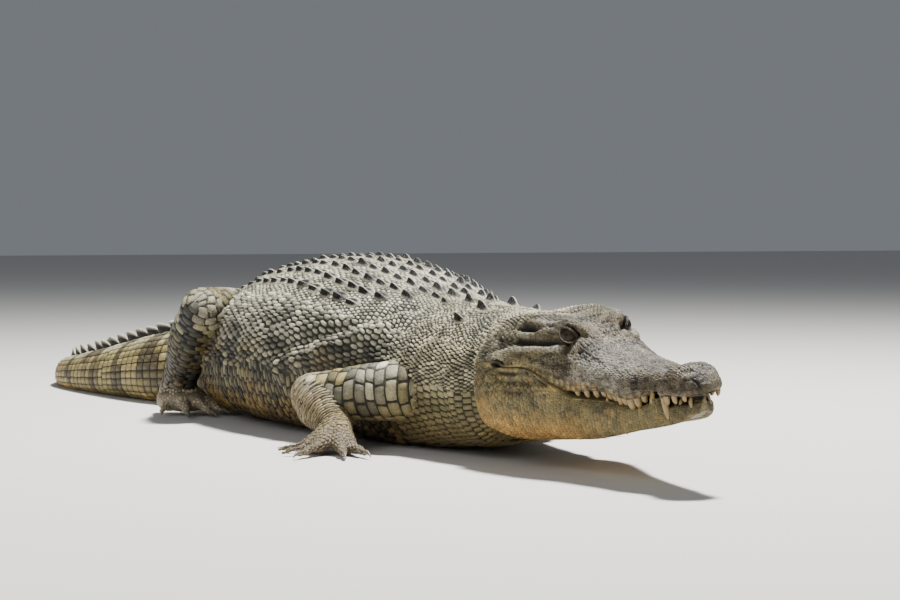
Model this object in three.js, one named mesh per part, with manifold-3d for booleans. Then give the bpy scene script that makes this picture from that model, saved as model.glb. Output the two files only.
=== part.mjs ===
// Saltwater crocodile resting on its belly: a life-size still model of a grown male, 4 m from snout to tail.
// Millimetres, +Z up, floor at z = 0, +X towards the head along the trunk, origin under the whole's middle.
//
// The body is laid out straight first: "aft" is the distance behind the snout tip, "out" the distance to the
// animal's left of its midline and "up" the height above the floor. bend() then lays it along the resting
// curve, and lifts, turns and tilts the head.
import * as THREE from "three";
import { mergeVertices } from "three/addons/utils/BufferGeometryUtils.js";
import Module from "manifold-3d";

const wasm = await Module();
wasm.setup();

// ---- driving dimensions ----------------------------------------------------------------------------------
const TOTAL = 4000; // snout tip to tail tip
const HEAD_END = 605; // snout tip to the cut behind the head
const NECK_END = 850;
const TRUNK_END = 2110;
const TAIL_CUTS = [TRUNK_END, 2640, 3260, TOTAL];
const GAP = 0.4; // clearance between neighbouring pieces
const SMALLEST = 0.19; // details below this are merged away
const SINK = 4; // how far the round belly, tail and feet would reach below the floor, and are cut flat

const HEAD_TURN = -1.5; // degrees, to the animal's left
const HEAD_TILT = 8; // degrees, left side up
const HEAD_PIVOT = 80; // height in the head that the tilt turns about
const JAW_LIFT = 118; // height of the jaw's lower face above the floor

// ---- smooth profiles -------------------------------------------------------------------------------------
// A curve through [position, value] pairs that never overshoots between them.
function profile(pairs) {
  const at = pairs.map((p) => p[0]);
  const value = pairs.map((p) => p[1]);
  const slope = at.slice(1).map((a, i) => (value[i + 1] - value[i]) / (a - at[i]));
  const tangent = at.map((_, i) => {
    const before = slope[i - 1] ?? slope[i];
    const after = slope[i] ?? slope[i - 1];
    return before * after <= 0 ? 0 : (2 * before * after) / (before + after);
  });
  return (x) => {
    const q = Math.min(Math.max(x, at[0]), at.at(-1));
    const above = at.findIndex((a) => a > q);
    const i = above < 0 ? at.length - 2 : above - 1;
    const h = at[i + 1] - at[i];
    const t = (q - at[i]) / h;
    return (
      value[i] * (1 + 2 * t) * (1 - t) ** 2 +
      tangent[i] * h * t * (1 - t) ** 2 +
      value[i + 1] * t * t * (3 - 2 * t) +
      tangent[i + 1] * h * t * t * (t - 1)
    );
  };
}

// ---- the resting curve -----------------------------------------------------------------------------------
const heading = profile([
  [0, HEAD_TURN],
  [560, HEAD_TURN],
  [1110, 0],
  [1900, 0],
  [2030, 6],
  [2180, 28],
  [2330, 24],
  [2480, 14],
  [2750, 9],
  [2950, 4],
  [3200, -26],
  [3450, -52],
  [TOTAL, -66],
]);
const lift = profile([
  [0, JAW_LIFT + 6],
  [560, JAW_LIFT],
  [740, 60],
  [1010, 0],
  [TOTAL, 0],
]);
const tilt = profile([
  [0, HEAD_TILT],
  [560, HEAD_TILT],
  [1010, 0],
  [TOTAL, 0],
]);

const STEP = 5;
const MIDDLE = 1500;
const spine = layOutSpine();

function layOutSpine() {
  const points = new Map([[MIDDLE, new THREE.Vector2(0, 0)]]);
  for (const direction of [-1, 1]) {
    for (let a = MIDDLE; a >= -20 && a <= TOTAL + 20; a += direction * STEP) {
      const turn = THREE.MathUtils.degToRad(heading(a + (direction * STEP) / 2));
      const next = new THREE.Vector2(Math.cos(turn), Math.sin(turn)).multiplyScalar(-direction * STEP);
      points.set(a + direction * STEP, points.get(a).clone().add(next));
    }
  }
  return points;
}

function bend(aft, out, up) {
  const turn = THREE.MathUtils.degToRad(heading(aft));
  const roll = THREE.MathUtils.degToRad(tilt(aft));
  const low = Math.floor(aft / STEP) * STEP;
  const on = spine.get(low).clone().lerp(spine.get(low + STEP), (aft - low) / STEP);
  const side = out * Math.cos(roll) - (up - HEAD_PIVOT) * Math.sin(roll);
  const rise = out * Math.sin(roll) + (up - HEAD_PIVOT) * Math.cos(roll) + HEAD_PIVOT;
  return new THREE.Vector3(on.x - side * Math.sin(turn), on.y + side * Math.cos(turn), rise + lift(aft));
}

// ---- solids ----------------------------------------------------------------------------------------------
// A closed tube: a cylinder whose rings are moved to the given stations. ring(station, angle) gives a point
// of the skin, the angle running from the top over the right side; ring(station, null) gives its middle.
function loft(stations, around, ring) {
  const tube = new THREE.CylinderGeometry(1, 1, 1, around, stations.length - 1);
  const spot = tube.getAttribute("position");
  for (let i = 0; i < spot.count; i++) {
    const station = stations[Math.round((0.5 - spot.getY(i)) * (stations.length - 1))];
    const onAxis = Math.hypot(spot.getX(i), spot.getZ(i)) < 0.5;
    const p = ring(station, onAxis ? null : Math.atan2(spot.getX(i), spot.getZ(i)));
    spot.setXYZ(i, p.x, p.y, p.z);
  }
  return solid(tube);
}

function solid(geometry) {
  const bare = geometry.clone();
  bare.deleteAttribute("normal");
  bare.deleteAttribute("uv");
  const merged = mergeVertices(bare, 1e-3);
  const shape = new wasm.Manifold(
    new wasm.Mesh({
      numProp: 3,
      vertProperties: merged.getAttribute("position").array,
      triVerts: new Uint32Array(merged.index.array),
    }),
  );
  return shape.volume() > 0 ? shape : turnedOut(merged);
}

function turnedOut(geometry) {
  return new wasm.Manifold(
    new wasm.Mesh({
      numProp: 3,
      vertProperties: geometry.getAttribute("position").array,
      triVerts: new Uint32Array(geometry.index.array).reverse(),
    }),
  );
}

function geometryOf(shape) {
  const mesh = shape.getMesh();
  const geometry = new THREE.BufferGeometry();
  geometry.setAttribute("position", new THREE.BufferAttribute(new Float32Array(mesh.vertProperties), 3));
  geometry.setIndex(new THREE.BufferAttribute(new Uint32Array(mesh.triVerts), 1));
  geometry.computeVertexNormals();
  return geometry;
}

const spaced = (from, to, count) =>
  Array.from({ length: count + 1 }, (_, i) => from + ((to - from) * i) / count);
const union = (shapes) => shapes.reduce((sum, s) => sum.add(s));

// ---- neck, trunk and tail --------------------------------------------------------------------------------
const bodyWidth = profile([
  [590, 136],
  [680, 152],
  [820, 172],
  [1000, 206],
  [1250, 262],
  [1500, 296],
  [1750, 290],
  [1950, 236],
  [2110, 174],
  [2400, 116],
  [2800, 78],
  [3200, 50],
  [3600, 30],
  [3900, 13],
  [TOTAL, 5],
]);
const bodyTop = profile([
  [590, 178],
  [680, 214],
  [820, 270],
  [1000, 328],
  [1250, 380],
  [1450, 402],
  [1700, 388],
  [1900, 338],
  [2100, 268],
  [2300, 214],
  [2500, 177],
  [2800, 124],
  [3100, 87],
  [3500, 68],
  [3900, 42],
  [TOTAL, 22],
]);
const bodyBottom = profile([
  [590, -62],
  [680, -50],
  [820, -22],
  [1010, -SINK],
  [TOTAL, -SINK],
]);
// Share of the height at which the body is widest: low in the belly, which spreads on the floor.
const widestAt = profile([
  [590, 0.46],
  [1000, 0.42],
  [1500, 0.38],
  [2100, 0.42],
  [2600, 0.4],
  [TOTAL, 0.35],
]);
const BACK_ROUND = 2.15; // 2 is an ellipse, and more is squarer
const BELLY_ROUND = 3;

function bodyPoint(aft, angle, grow = 0) {
  const top = bodyTop(aft) + grow;
  const bottom = bodyBottom(aft);
  const waist = bottom + (top - bottom) * widestAt(aft);
  if (angle === null) return bend(aft, 0, waist);
  const side = Math.sin(angle);
  const rise = Math.cos(angle);
  const round = rise > 0 ? BACK_ROUND : BELLY_ROUND;
  const out = -Math.sign(side) * Math.abs(side) ** (2 / round) * (bodyWidth(aft) + grow);
  const up = Math.sign(rise) * Math.abs(rise) ** (2 / round) * (rise > 0 ? top - waist : waist - bottom);
  return bend(aft, out, waist + up);
}

const BODY = {
  neck: [HEAD_END, NECK_END, 4, 20],
  trunk: [NECK_END, TRUNK_END, 13, 20],
  tail_base: [TAIL_CUTS[0], TAIL_CUTS[1], 7, 14],
  tail_middle: [TAIL_CUTS[1], TAIL_CUTS[2], 7, 12],
  tail_end: [TAIL_CUTS[2], TAIL_CUTS[3], 7, 12],
};
const bodyPiece = (name, grow = 0) => {
  const [from, to, steps, around] = BODY[name];
  const stations = spaced(from + GAP / 2, to - GAP / 2, steps);
  return loft(stations, around, (aft, angle) => bodyPoint(aft, angle, grow));
};

// ---- tail crest ------------------------------------------------------------------------------------------
// Two rows of upright scutes run along the tail's upper edges and meet in one row past its middle.
const CREST_START = 2160;
const CREST_MERGE = 2960;
const CREST_END = 3970;
const BLADE_FOOT = 16; // how deep a scute stands in the tail
const crestHeight = profile([
  [CREST_START, 13],
  [2500, 25],
  [CREST_MERGE, 35],
  [3400, 36],
  [3800, 26],
  [3960, 13],
]);
const crestPitch = profile([
  [CREST_START, 62],
  [CREST_MERGE, 58],
  [3500, 46],
  [3960, 34],
]);

// One scute leans back: its tip stands behind the end of its foot.
function crestScute(aft, out, length) {
  const height = crestHeight(aft);
  const thick = height * 0.16 + 3;
  const corner = (a, o, u) => {
    const p = bend(aft + length * a, out + o, bodyTop(aft + length * a) - BLADE_FOOT + u);
    return [p.x, p.y, p.z];
  };
  return wasm.Manifold.hull([
    corner(-0.5, -thick, 0),
    corner(-0.5, thick, 0),
    corner(0.5, -thick, 0),
    corner(0.5, thick, 0),
    corner(0.5, 0, BLADE_FOOT + height),
    corner(0.75, 0, BLADE_FOOT + height * 0.85),
  ]);
}

function crest(from, to) {
  const scutes = [];
  for (let aft = CREST_START; aft < CREST_END; aft += crestPitch(aft)) {
    const length = crestPitch(aft) * 0.86;
    if (aft - length < from || aft + length > to) continue;
    const merged = (aft - CREST_START) / (CREST_MERGE - CREST_START);
    const apart = Math.max(0, (bodyWidth(aft) / 2) * (1 - merged));
    const rows = apart < 8 ? [0] : [apart, -apart];
    scutes.push(...rows.map((out) => crestScute(aft, out, length)));
  }
  return scutes;
}

// ---- head ------------------------------------------------------------------------------------------------
// The upper head hangs on four rails on each side: the midline, the edge of the flat top, cheek and lip.
const rails = {
  crown: profile([
    [0, 70], [14, 88], [45, 102], [85, 90], [130, 92], [230, 106], [320, 132], [380, 158], [460, 176],
    [605, 178],
  ]),
  edgeOut: profile([
    [0, 12], [14, 30], [45, 40], [95, 34], [160, 50], [260, 54], [330, 50], [385, 60], [470, 80], [605, 94],
  ]),
  edgeUp: profile([
    [0, 66], [14, 82], [45, 96], [85, 84], [160, 88], [260, 102], [330, 136], [365, 175], [410, 177],
    [520, 180], [605, 172],
  ]),
  cheekOut: profile([
    [0, 16], [14, 40], [45, 54], [98, 44], [165, 68], [250, 72], [350, 88], [450, 118], [605, 142],
  ]),
  cheekUp: profile([[0, 56], [45, 70], [98, 66], [165, 68], [250, 78], [350, 104], [450, 120], [605, 122]]),
  lipOut: profile([
    [0, 15], [14, 38], [50, 53], [98, 42], [165, 66], [235, 68], [320, 86], [450, 122], [540, 142],
    [605, 148],
  ]),
  lipUp: profile([
    [0, 50], [45, 52], [75, 48], [98, 56], [120, 48], [165, 42], [215, 46], [260, 52], [320, 50], [343, 50],
    [370, 60], [400, 73], [430, 89], [457, 95], [500, 95], [540, 103], [605, 104],
  ]),
};
// The lower jaw hangs on its lip, the bulge of its side, its lower edge and its keel.
const jawRails = {
  lipOut: profile([
    [12, 6], [26, 24], [65, 32], [82, 32], [98, 52], [108, 51], [118, 42], [168, 46], [230, 50], [310, 70],
    [350, 92], [450, 120], [540, 142], [605, 146],
  ]),
  sideOut: profile([
    [12, 8], [26, 30], [65, 38], [82, 36], [98, 52], [118, 48], [168, 54], [230, 60], [310, 82], [350, 98],
    [450, 134], [540, 160], [605, 158],
  ]),
  sideUp: profile([[10, 32], [98, 22], [320, 12], [480, 26], [605, 44]]),
  edgeOut: profile([[10, 10], [24, 24], [60, 34], [165, 46], [320, 70], [450, 106], [580, 132], [605, 130]]),
  edgeUp: profile([[10, 18], [60, 0], [165, -18], [320, -42], [480, -46], [605, -26]]),
  keelUp: profile([[10, 20], [60, 4], [200, -12], [400, -34], [605, -42]]),
};
// How far the mouth stands open, from the front to its corner.
const mouthGap = profile([
  [0, 12], [60, 16], [98, 10], [180, 15], [240, 20], [330, 13], [390, 4], [440, GAP], [605, GAP],
]);

const across = (points, t) => new THREE.SplineCurve(points.map((p) => new THREE.Vector2(...p))).getPoint(t);

const PALATE_FROM = 0.74; // share of the way round, from the crown, at which the lip is reached
function upperPoint(aft, angle) {
  const lip = [rails.lipOut(aft), rails.lipUp(aft)];
  if (angle === null) return bend(aft, 0, (lip[1] + rails.crown(aft)) / 2);
  const side = -Math.sign(Math.sin(angle));
  const turn = Math.abs(angle) / Math.PI;
  if (turn > PALATE_FROM) return bend(aft, (side * lip[0] * (1 - turn)) / (1 - PALATE_FROM), lip[1]);
  const p = across(
    [
      [0, rails.crown(aft)],
      [rails.edgeOut(aft), rails.edgeUp(aft)],
      [rails.cheekOut(aft), rails.cheekUp(aft)],
      lip,
    ],
    turn / PALATE_FROM,
  );
  return bend(aft, side * p.x, p.y);
}

const FLOOR_OF_MOUTH = 0.28; // share of the way round taken by the jaw's upper face
function lowerPoint(aft, angle) {
  const lip = [jawRails.lipOut(aft), rails.lipUp(aft) - mouthGap(aft)];
  if (angle === null) return bend(aft, 0, (lip[1] + jawRails.keelUp(aft)) / 2);
  const side = -Math.sign(Math.sin(angle));
  const turn = Math.abs(angle) / Math.PI;
  if (turn < FLOOR_OF_MOUTH) return bend(aft, (side * lip[0] * turn) / FLOOR_OF_MOUTH, lip[1]);
  const p = across(
    [
      lip,
      [jawRails.sideOut(aft), jawRails.sideUp(aft)],
      [jawRails.edgeOut(aft), jawRails.edgeUp(aft)],
      [0, jawRails.keelUp(aft)],
    ],
    (turn - FLOOR_OF_MOUTH) / (1 - FLOOR_OF_MOUTH),
  );
  return bend(aft, side * p.x, p.y);
}

const HEAD_STATIONS = [0, 5, 12, 26, 45, 65, 82, 98, 118, 142, 168, 205, 260, 310, 340, 370, 405, 450, 520];
const headStations = (from) => [...HEAD_STATIONS.filter((s) => s >= from), HEAD_END - GAP / 2];

// ---- teeth -----------------------------------------------------------------------------------------------
// [aft, length, width at the gum] of each pair; they point down outside the lower jaw.
const UPPER_TEETH = [
  [16, 12, 9], [34, 14, 10], [56, 16, 12], [78, 26, 15], [132, 14, 12], [148, 17, 13], [164, 19, 15],
  [181, 17, 14], [197, 14, 12], [214, 13, 11], [234, 13, 11], [254, 14, 11], [276, 13, 11], [300, 12, 10],
  [324, 10, 9],
];
const TOOTH_ROOT = 6; // how deep a tooth stands in the lip

function tooth(aft, out, root, tip, width) {
  const from = bend(aft, out, root);
  const axis = bend(aft, out, tip).sub(from);
  const forward = new THREE.Vector3(1, 0, 0);
  const sideways = forward.clone().cross(axis).normalize();
  return loft([0, 1], 5, (t, angle) => {
    const middle = from.clone().addScaledVector(axis, t);
    if (angle === null) return middle;
    const size = (width / 2) * (1 - t * 0.72);
    return middle
      .addScaledVector(sideways, size * Math.sin(angle))
      .addScaledVector(forward, size * Math.cos(angle));
  });
}

const upperTeeth = () =>
  UPPER_TEETH.flatMap(([aft, length, width]) =>
    [-1, 1].map((side) => {
      const out = side * (rails.lipOut(aft) - width * 0.45);
      const lip = rails.lipUp(aft);
      return tooth(aft, out, lip + TOOTH_ROOT, lip - length, width);
    }),
  );
// The long fourth tooth of the lower jaw stands up in the notch of the upper one.
const NOTCH_TOOTH = { aft: 103, out: 50, length: 20, width: 12 };
const lowerTeeth = () =>
  [-1, 1].map((side) => {
    const { aft, out, length, width } = NOTCH_TOOTH;
    const lip = rails.lipUp(aft) - mouthGap(aft);
    return tooth(aft, side * out, lip - TOOTH_ROOT, lip + length, width);
  });

// ---- limbs -----------------------------------------------------------------------------------------------
// A limb segment: a tapered bar of oval section. "thin" is the direction of its thinner way.
function segment(from, to, thin, sizes, around = 9) {
  const axis = to.clone().sub(from);
  const length = axis.length();
  axis.normalize();
  const second = thin.clone().addScaledVector(axis, -thin.dot(axis)).normalize();
  const first = new THREE.Vector3().crossVectors(axis, second);
  const width = profile(sizes.map(([t, w]) => [t, w]));
  const depth = profile(sizes.map(([t, , d]) => [t, d]));
  return loft(sizes.map(([t]) => t), around, (t, angle) => {
    const middle = from.clone().addScaledVector(axis, t * length);
    if (angle === null) return middle;
    return middle
      .addScaledVector(first, width(t) * Math.sin(angle))
      .addScaledVector(second, depth(t) * Math.cos(angle));
  });
}

const UP = new THREE.Vector3(0, 0, 1);

// Cuts two neighbouring limb pieces apart at the joint between them.
function parted(upper, lower, joint, before, after) {
  const middle = joint.clone().sub(before).normalize().add(after.clone().sub(joint).normalize()).normalize();
  const offset = middle.dot(joint);
  const back = middle.clone().negate();
  return [
    upper.trimByPlane(back.toArray(), -offset + GAP / 2),
    lower.trimByPlane(middle.toArray(), offset + GAP / 2),
  ];
}

const ball = (centre, radius, detail) =>
  solid(new THREE.IcosahedronGeometry(radius, detail).translate(...centre.toArray()));
const onFloor = (shape) => shape.trimByPlane([0, 0, 1], 0);
const largest = (shape) => shape.decompose().sort((a, b) => b.volume() - a.volume())[0];

// Feet come in two kinds: broad-palmed hands and long, high-arched hind feet.
const HAND = { wrist: 32, high: 17, knuckle: 17, toe: 14, reach: 0.52 };
const FOOT = { wrist: 42, high: 36, knuckle: 34, toe: 17, reach: 0.46 };
const CLAWED = 3; // the inner digits that have claws
const OUTER_SHARE = 0.8; // thickness of the clawless digits, as a share of the clawed ones
const CLAW = 30;

// A digit: from its knuckle it arches over and comes down to its tip, which ends in a claw or a blunt end.
function digit(knuckle, tip, thick, clawed) {
  const along = tip.clone().sub(knuckle);
  const arch = knuckle.clone().addScaledVector(along, 0.45).setZ(knuckle.z * 0.55 + thick * 0.75);
  const end = tip.clone().setZ(thick * 0.62);
  const path = new THREE.QuadraticBezierCurve3(knuckle, arch, end);
  const size = profile([[0, thick], [0.3, thick * 0.86], [0.6, thick * 0.94], [1, thick * 0.55]]);
  const sideways = new THREE.Vector3().crossVectors(UP, along).normalize();
  const toe = loft([0, 0.3, 0.6, 1], 6, (t, angle) => {
    const middle = path.getPoint(t);
    if (angle === null) return middle;
    return middle
      .addScaledVector(sideways, size(t) * Math.sin(angle))
      .addScaledVector(UP, size(t) * 0.85 * Math.cos(angle));
  });
  return clawed ? toe.add(claw(end, along.clone().setZ(0).normalize(), sideways, thick)) : toe;
}

function claw(end, forward, sideways, thick) {
  return loft([0, 0.5, 1], 5, (t, angle) => {
    const middle = end.clone().addScaledVector(forward, t * CLAW - 6);
    middle.z += 3 + 4 * Math.sin(t * 2.4) - t * t * thick * 0.7;
    if (angle === null) return middle;
    const r = thick * 0.42 * (1 - t * 0.86);
    return middle.addScaledVector(sideways, r * Math.sin(angle)).addScaledVector(UP, r * Math.cos(angle));
  });
}

// A hand or foot: a pad from the wrist or ankle to the knuckles, and its digits.
function paw(joint, tips, { wrist, high, knuckle, toe, reach }) {
  const knuckles = tips.map((tip) => joint.clone().lerp(tip, reach).setZ(high));
  const pad = wasm.Manifold.hull([ball(joint, wrist, 1), ...knuckles.map((k) => ball(k, knuckle, 0))]);
  const digits = tips.map((tip, i) => {
    const thick = toe * (i < CLAWED ? 1 : OUTER_SHARE);
    return digit(knuckles[i], tip, thick, i < CLAWED);
  });
  return union([pad, ...digits]);
}

// The body with a little clearance, which is cut out of the limbs that join it.
const BODY_ROOM = 1.5;
const bodyRoom = union(["neck", "trunk", "tail_base"].map((name) => bodyPiece(name, BODY_ROOM)));

// [share of the length, half width, half depth] along each limb segment.
const UPPER_ARM = [[0, 72, 66], [0.4, 66, 62], [0.8, 52, 52], [1, 47, 49]];
const FOREARM = [[0, 44, 48], [0.35, 50, 52], [0.8, 37, 36], [1, 36, 32]];
const THIGH = [[0, 100, 104], [0.5, 84, 88], [1, 56, 60]];
const SHANK = [[0, 54, 56], [0.3, 60, 60], [0.8, 43, 42], [1, 42, 40]];

function leg(side, pose, sizes, knobs, kind) {
  const laid = ([aft, out, up]) => bend(aft, side * out, up);
  const [top, middle, end] = pose.joints.map(laid);
  const toes = pose.tips.map(laid);
  const sole = toes[1].clone().lerp(toes[pose.tips.length - 2], 0.5);
  const firstJoint = ball(middle, knobs[0], 1);
  const secondJoint = ball(end, knobs[1], 1);
  const upper = union([segment(top, middle, UP, sizes[0]), firstJoint]);
  const lower = union([firstJoint, segment(middle, end, UP, sizes[1]), secondJoint]);
  const last = union([secondJoint, paw(end, toes, kind)]);
  const [first, rest] = parted(upper, lower, middle, top, end);
  const [second, third] = parted(rest, last, end, middle, sole);
  return [first, second, third];
}

// ---- the whole animal ------------------------------------------------------------------------------------
const root = new THREE.Group();
const add = (name, shape, colour = 0x77745e) => {
  const mesh = new THREE.Mesh(
    geometryOf(largest(onFloor(shape)).simplify(SMALLEST)),
    new THREE.MeshStandardMaterial({ color: colour, roughness: 0.6, metalness: 0 }),
  );
  mesh.name = name;
  root.add(mesh);
};

const EYE = { aft: 374, out: 51, up: 148, radius: 22 };
const eyeball = (side, extra) => ball(bend(EYE.aft, side * EYE.out, EYE.up), EYE.radius + extra, 1);

add(
  "head",
  union([loft(headStations(0), 20, upperPoint), ...upperTeeth()])
    .subtract(eyeball(1, GAP))
    .subtract(eyeball(-1, GAP)),
);
add("eye_left", eyeball(1, 0), 0x3a3420);
add("eye_right", eyeball(-1, 0), 0x3a3420);
add("lower_jaw", union([loft(headStations(12), 18, lowerPoint), ...lowerTeeth()]));
add("neck", bodyPiece("neck"));
add("trunk", bodyPiece("trunk"));
for (const name of ["tail_base", "tail_middle", "tail_end"]) {
  const [from, to] = BODY[name];
  add(name, union([bodyPiece(name), ...crest(from, to)]));
}

// The joints from the body outwards, and the tips of the digits on the floor.
const FORELEGS = {
  right: {
    joints: [[905, 150, 116], [1085, 300, 108], [948, 300, 46]],
    tips: [[806, 300, 0], [798, 350, 0], [850, 424, 0], [914, 436, 0], [980, 418, 0]],
  },
  left: {
    joints: [[1005, 165, 112], [1205, 322, 104], [1120, 338, 46]],
    tips: [[1000, 300, 0], [978, 345, 0], [998, 396, 0], [1050, 428, 0], [1110, 424, 0]],
  },
};
const HINDLEGS = {
  right: {
    joints: [[1880, 130, 200], [1749, 304, 262], [2030, 282, 56]],
    tips: [[1880, 206, 0], [1834, 252, 0], [1836, 312, 0], [1892, 362, 0]],
  },
  left: {
    joints: [[1880, 130, 200], [1765, 318, 240], [2025, 330, 56]],
    tips: [[1880, 282, 0], [1832, 330, 0], [1840, 392, 0], [1900, 440, 0]],
  },
};
for (const [name, side] of [["right", -1], ["left", 1]]) {
  const [arm, forearm, hand] = leg(side, FORELEGS[name], [UPPER_ARM, FOREARM], [47, 34], HAND);
  add(name + "_upper_arm", arm.subtract(bodyRoom));
  add(name + "_forearm", forearm.subtract(bodyRoom));
  add(name + "_hand", hand.subtract(bodyRoom));
  const [thigh, shank, foot] = leg(side, HINDLEGS[name], [THIGH, SHANK], [58, 40], FOOT);
  add(name + "_thigh", thigh.subtract(bodyRoom));
  add(name + "_shank", shank.subtract(bodyRoom));
  add(name + "_foot", foot.subtract(bodyRoom));
}

const whole = new THREE.Box3().setFromObject(root);
root.position.set(-(whole.min.x + whole.max.x) / 2, -(whole.min.y + whole.max.y) / 2, 0);

export default root;
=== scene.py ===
import math

import bmesh
import bpy
import numpy as np
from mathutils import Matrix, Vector
from mathutils.bvhtree import BVHTree
from mathutils.kdtree import KDTree

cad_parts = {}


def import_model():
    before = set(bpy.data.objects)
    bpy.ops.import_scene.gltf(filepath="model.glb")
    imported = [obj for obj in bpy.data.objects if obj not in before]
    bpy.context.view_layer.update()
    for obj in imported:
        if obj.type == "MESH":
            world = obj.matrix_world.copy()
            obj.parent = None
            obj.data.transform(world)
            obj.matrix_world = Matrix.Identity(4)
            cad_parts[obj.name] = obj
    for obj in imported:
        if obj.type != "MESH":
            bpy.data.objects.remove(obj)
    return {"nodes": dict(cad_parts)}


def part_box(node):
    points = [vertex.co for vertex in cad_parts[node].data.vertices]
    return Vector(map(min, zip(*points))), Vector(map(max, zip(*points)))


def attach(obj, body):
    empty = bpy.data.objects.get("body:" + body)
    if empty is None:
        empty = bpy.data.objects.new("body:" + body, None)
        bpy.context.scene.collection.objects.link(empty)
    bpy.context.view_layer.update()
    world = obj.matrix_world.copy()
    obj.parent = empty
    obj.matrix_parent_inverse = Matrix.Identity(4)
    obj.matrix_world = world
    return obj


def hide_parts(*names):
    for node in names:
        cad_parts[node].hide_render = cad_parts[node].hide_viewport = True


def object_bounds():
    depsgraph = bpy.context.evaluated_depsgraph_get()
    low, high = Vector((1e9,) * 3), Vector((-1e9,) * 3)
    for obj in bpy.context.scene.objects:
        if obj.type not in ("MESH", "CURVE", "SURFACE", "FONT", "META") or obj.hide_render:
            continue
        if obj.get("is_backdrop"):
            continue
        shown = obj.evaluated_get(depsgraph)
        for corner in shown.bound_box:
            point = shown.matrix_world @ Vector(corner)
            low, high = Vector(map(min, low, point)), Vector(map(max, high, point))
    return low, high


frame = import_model()
cad_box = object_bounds()

# ---- Camera ----------------------------------------------------------------------------------------------
# A long lens at the height of a kneeling visitor, in front of the animal's right shoulder. It looks almost
# level, so that the back shows as a skyline and the belly meets the floor.
CAMERA_PLACE = (4.9966, -2.0611, 0.461)
CAMERA_AZIMUTH = 64
CAMERA_DIP = 1.9
CAMERA_LENS = 88

camera = bpy.data.objects.new("camera", bpy.data.cameras.new("camera"))
camera.data.lens = CAMERA_LENS
camera.data.sensor_width = 36
camera.data.clip_end = 60
camera.location = CAMERA_PLACE
camera.rotation_euler = (math.radians(90 - CAMERA_DIP), 0, math.radians(CAMERA_AZIMUTH))
bpy.context.scene.collection.objects.link(camera)
bpy.context.scene.camera = camera

# ---- Skin ------------------------------------------------------------------------------------------------
# The animal's one hide: thick leather that lies close over the skull, hangs in folds at the jaw and neck and
# spreads where the belly takes the weight. It is laid out straight ("aft" is how far behind the snout tip,
# "out" how far to the animal's left, "up" how high), modelled there, and bent to the resting pose.
MM = 1000
TOTAL = 4000
TRUNK_MIDDLE = 1500
HEAD_PIVOT = 80
STEP = 5
HEAD_END = 605


def profile(*pairs):
    """A curve through (position, value) pairs that never overshoots between them."""
    at, value = np.array(pairs, float).T
    slope = np.diff(value) / np.diff(at)
    before = np.append(slope[0], slope)
    after = np.append(slope, slope[-1])
    rising = before * after > 0
    tangent = np.where(rising, 2 * before * after / np.where(rising, before + after, 1), 0)

    def read(x):
        q = np.clip(x, at[0], at[-1])
        i = np.clip(np.searchsorted(at, q, side="right") - 1, 0, len(at) - 2)
        gap = at[i + 1] - at[i]
        t = (q - at[i]) / gap
        held = value[i] * (1 + 2 * t) * (1 - t) ** 2 + value[i + 1] * t * t * (3 - 2 * t)
        return held + gap * (tangent[i] * t * (1 - t) ** 2 + tangent[i + 1] * t * t * (t - 1))

    return read


# The way the spine runs, in degrees from straight aft, then how far the raised neck lifts it and rolls it.
heading = profile(
    (0, -1.5), (560, -1.5), (1110, 0), (1900, 0), (2030, 6), (2180, 28), (2330, 24), (2480, 14),
    (2750, 9), (2950, 4), (3200, -26), (3450, -52), (TOTAL, -66)
)
lift = profile((0, 124), (560, 118), (740, 60), (1010, 0), (TOTAL, 0))
tilt = profile((0, 8), (560, 8), (1010, 0), (TOTAL, 0))

spine_aft = np.arange(-25, TOTAL + 30, STEP, dtype=float)
spine_turn = np.radians(heading(spine_aft[:-1] + STEP / 2))
spine = np.cumsum(np.stack([-np.cos(spine_turn), -np.sin(spine_turn)], -1) * STEP, axis=0)
spine = np.vstack([[0, 0], spine])
spine -= spine[int((TRUNK_MIDDLE - spine_aft[0]) / STEP)]
row_shift = np.zeros(3)


def bend(aft, out, up):
    """From the straight layout to the resting pose, in metres."""
    aft, out, up = np.broadcast_arrays(np.asarray(aft, float), out, up)
    turn = np.radians(heading(aft))
    roll = np.radians(tilt(aft))
    on_x = np.interp(aft, spine_aft, spine[:, 0])
    on_y = np.interp(aft, spine_aft, spine[:, 1])
    side = out * np.cos(roll) - (up - HEAD_PIVOT) * np.sin(roll)
    rise = out * np.sin(roll) + (up - HEAD_PIVOT) * np.cos(roll) + HEAD_PIVOT
    place = np.stack([on_x - side * np.sin(turn), on_y + side * np.cos(turn), rise + lift(aft)], -1)
    return place / MM + row_shift


# The straight layout starts under the trunk's middle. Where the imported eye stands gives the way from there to
# the frame's own origin.
EYE = {"aft": 374, "out": 51, "up": 148, "radius": 22}
eye_low, eye_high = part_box("eye_right")
row_shift = np.array((eye_low + eye_high) / 2) - bend(EYE["aft"], -EYE["out"], EYE["up"])

body_width = profile(
    (590, 136), (680, 152), (820, 172), (1000, 206), (1250, 262), (1500, 296), (1750, 290), (1950, 236),
    (2110, 174), (2400, 116), (2800, 78), (3200, 50), (3600, 30), (3900, 13), (TOTAL, 5)
)
body_top = profile(
    (590, 178), (680, 214), (820, 270), (1000, 328), (1250, 380), (1450, 402), (1700, 388), (1900, 338),
    (2100, 268), (2300, 214), (2500, 177), (2800, 124), (3100, 87), (3500, 68), (3900, 42), (TOTAL, 22)
)
body_bottom = profile((590, -62), (680, -50), (820, -22), (1010, -4), (TOTAL, -4))
widest_at = profile((590, 0.46), (1000, 0.42), (1500, 0.38), (2100, 0.42), (2600, 0.4), (TOTAL, 0.35))
BACK_ROUND = 2.15
BELLY_ROUND = 3


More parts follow.
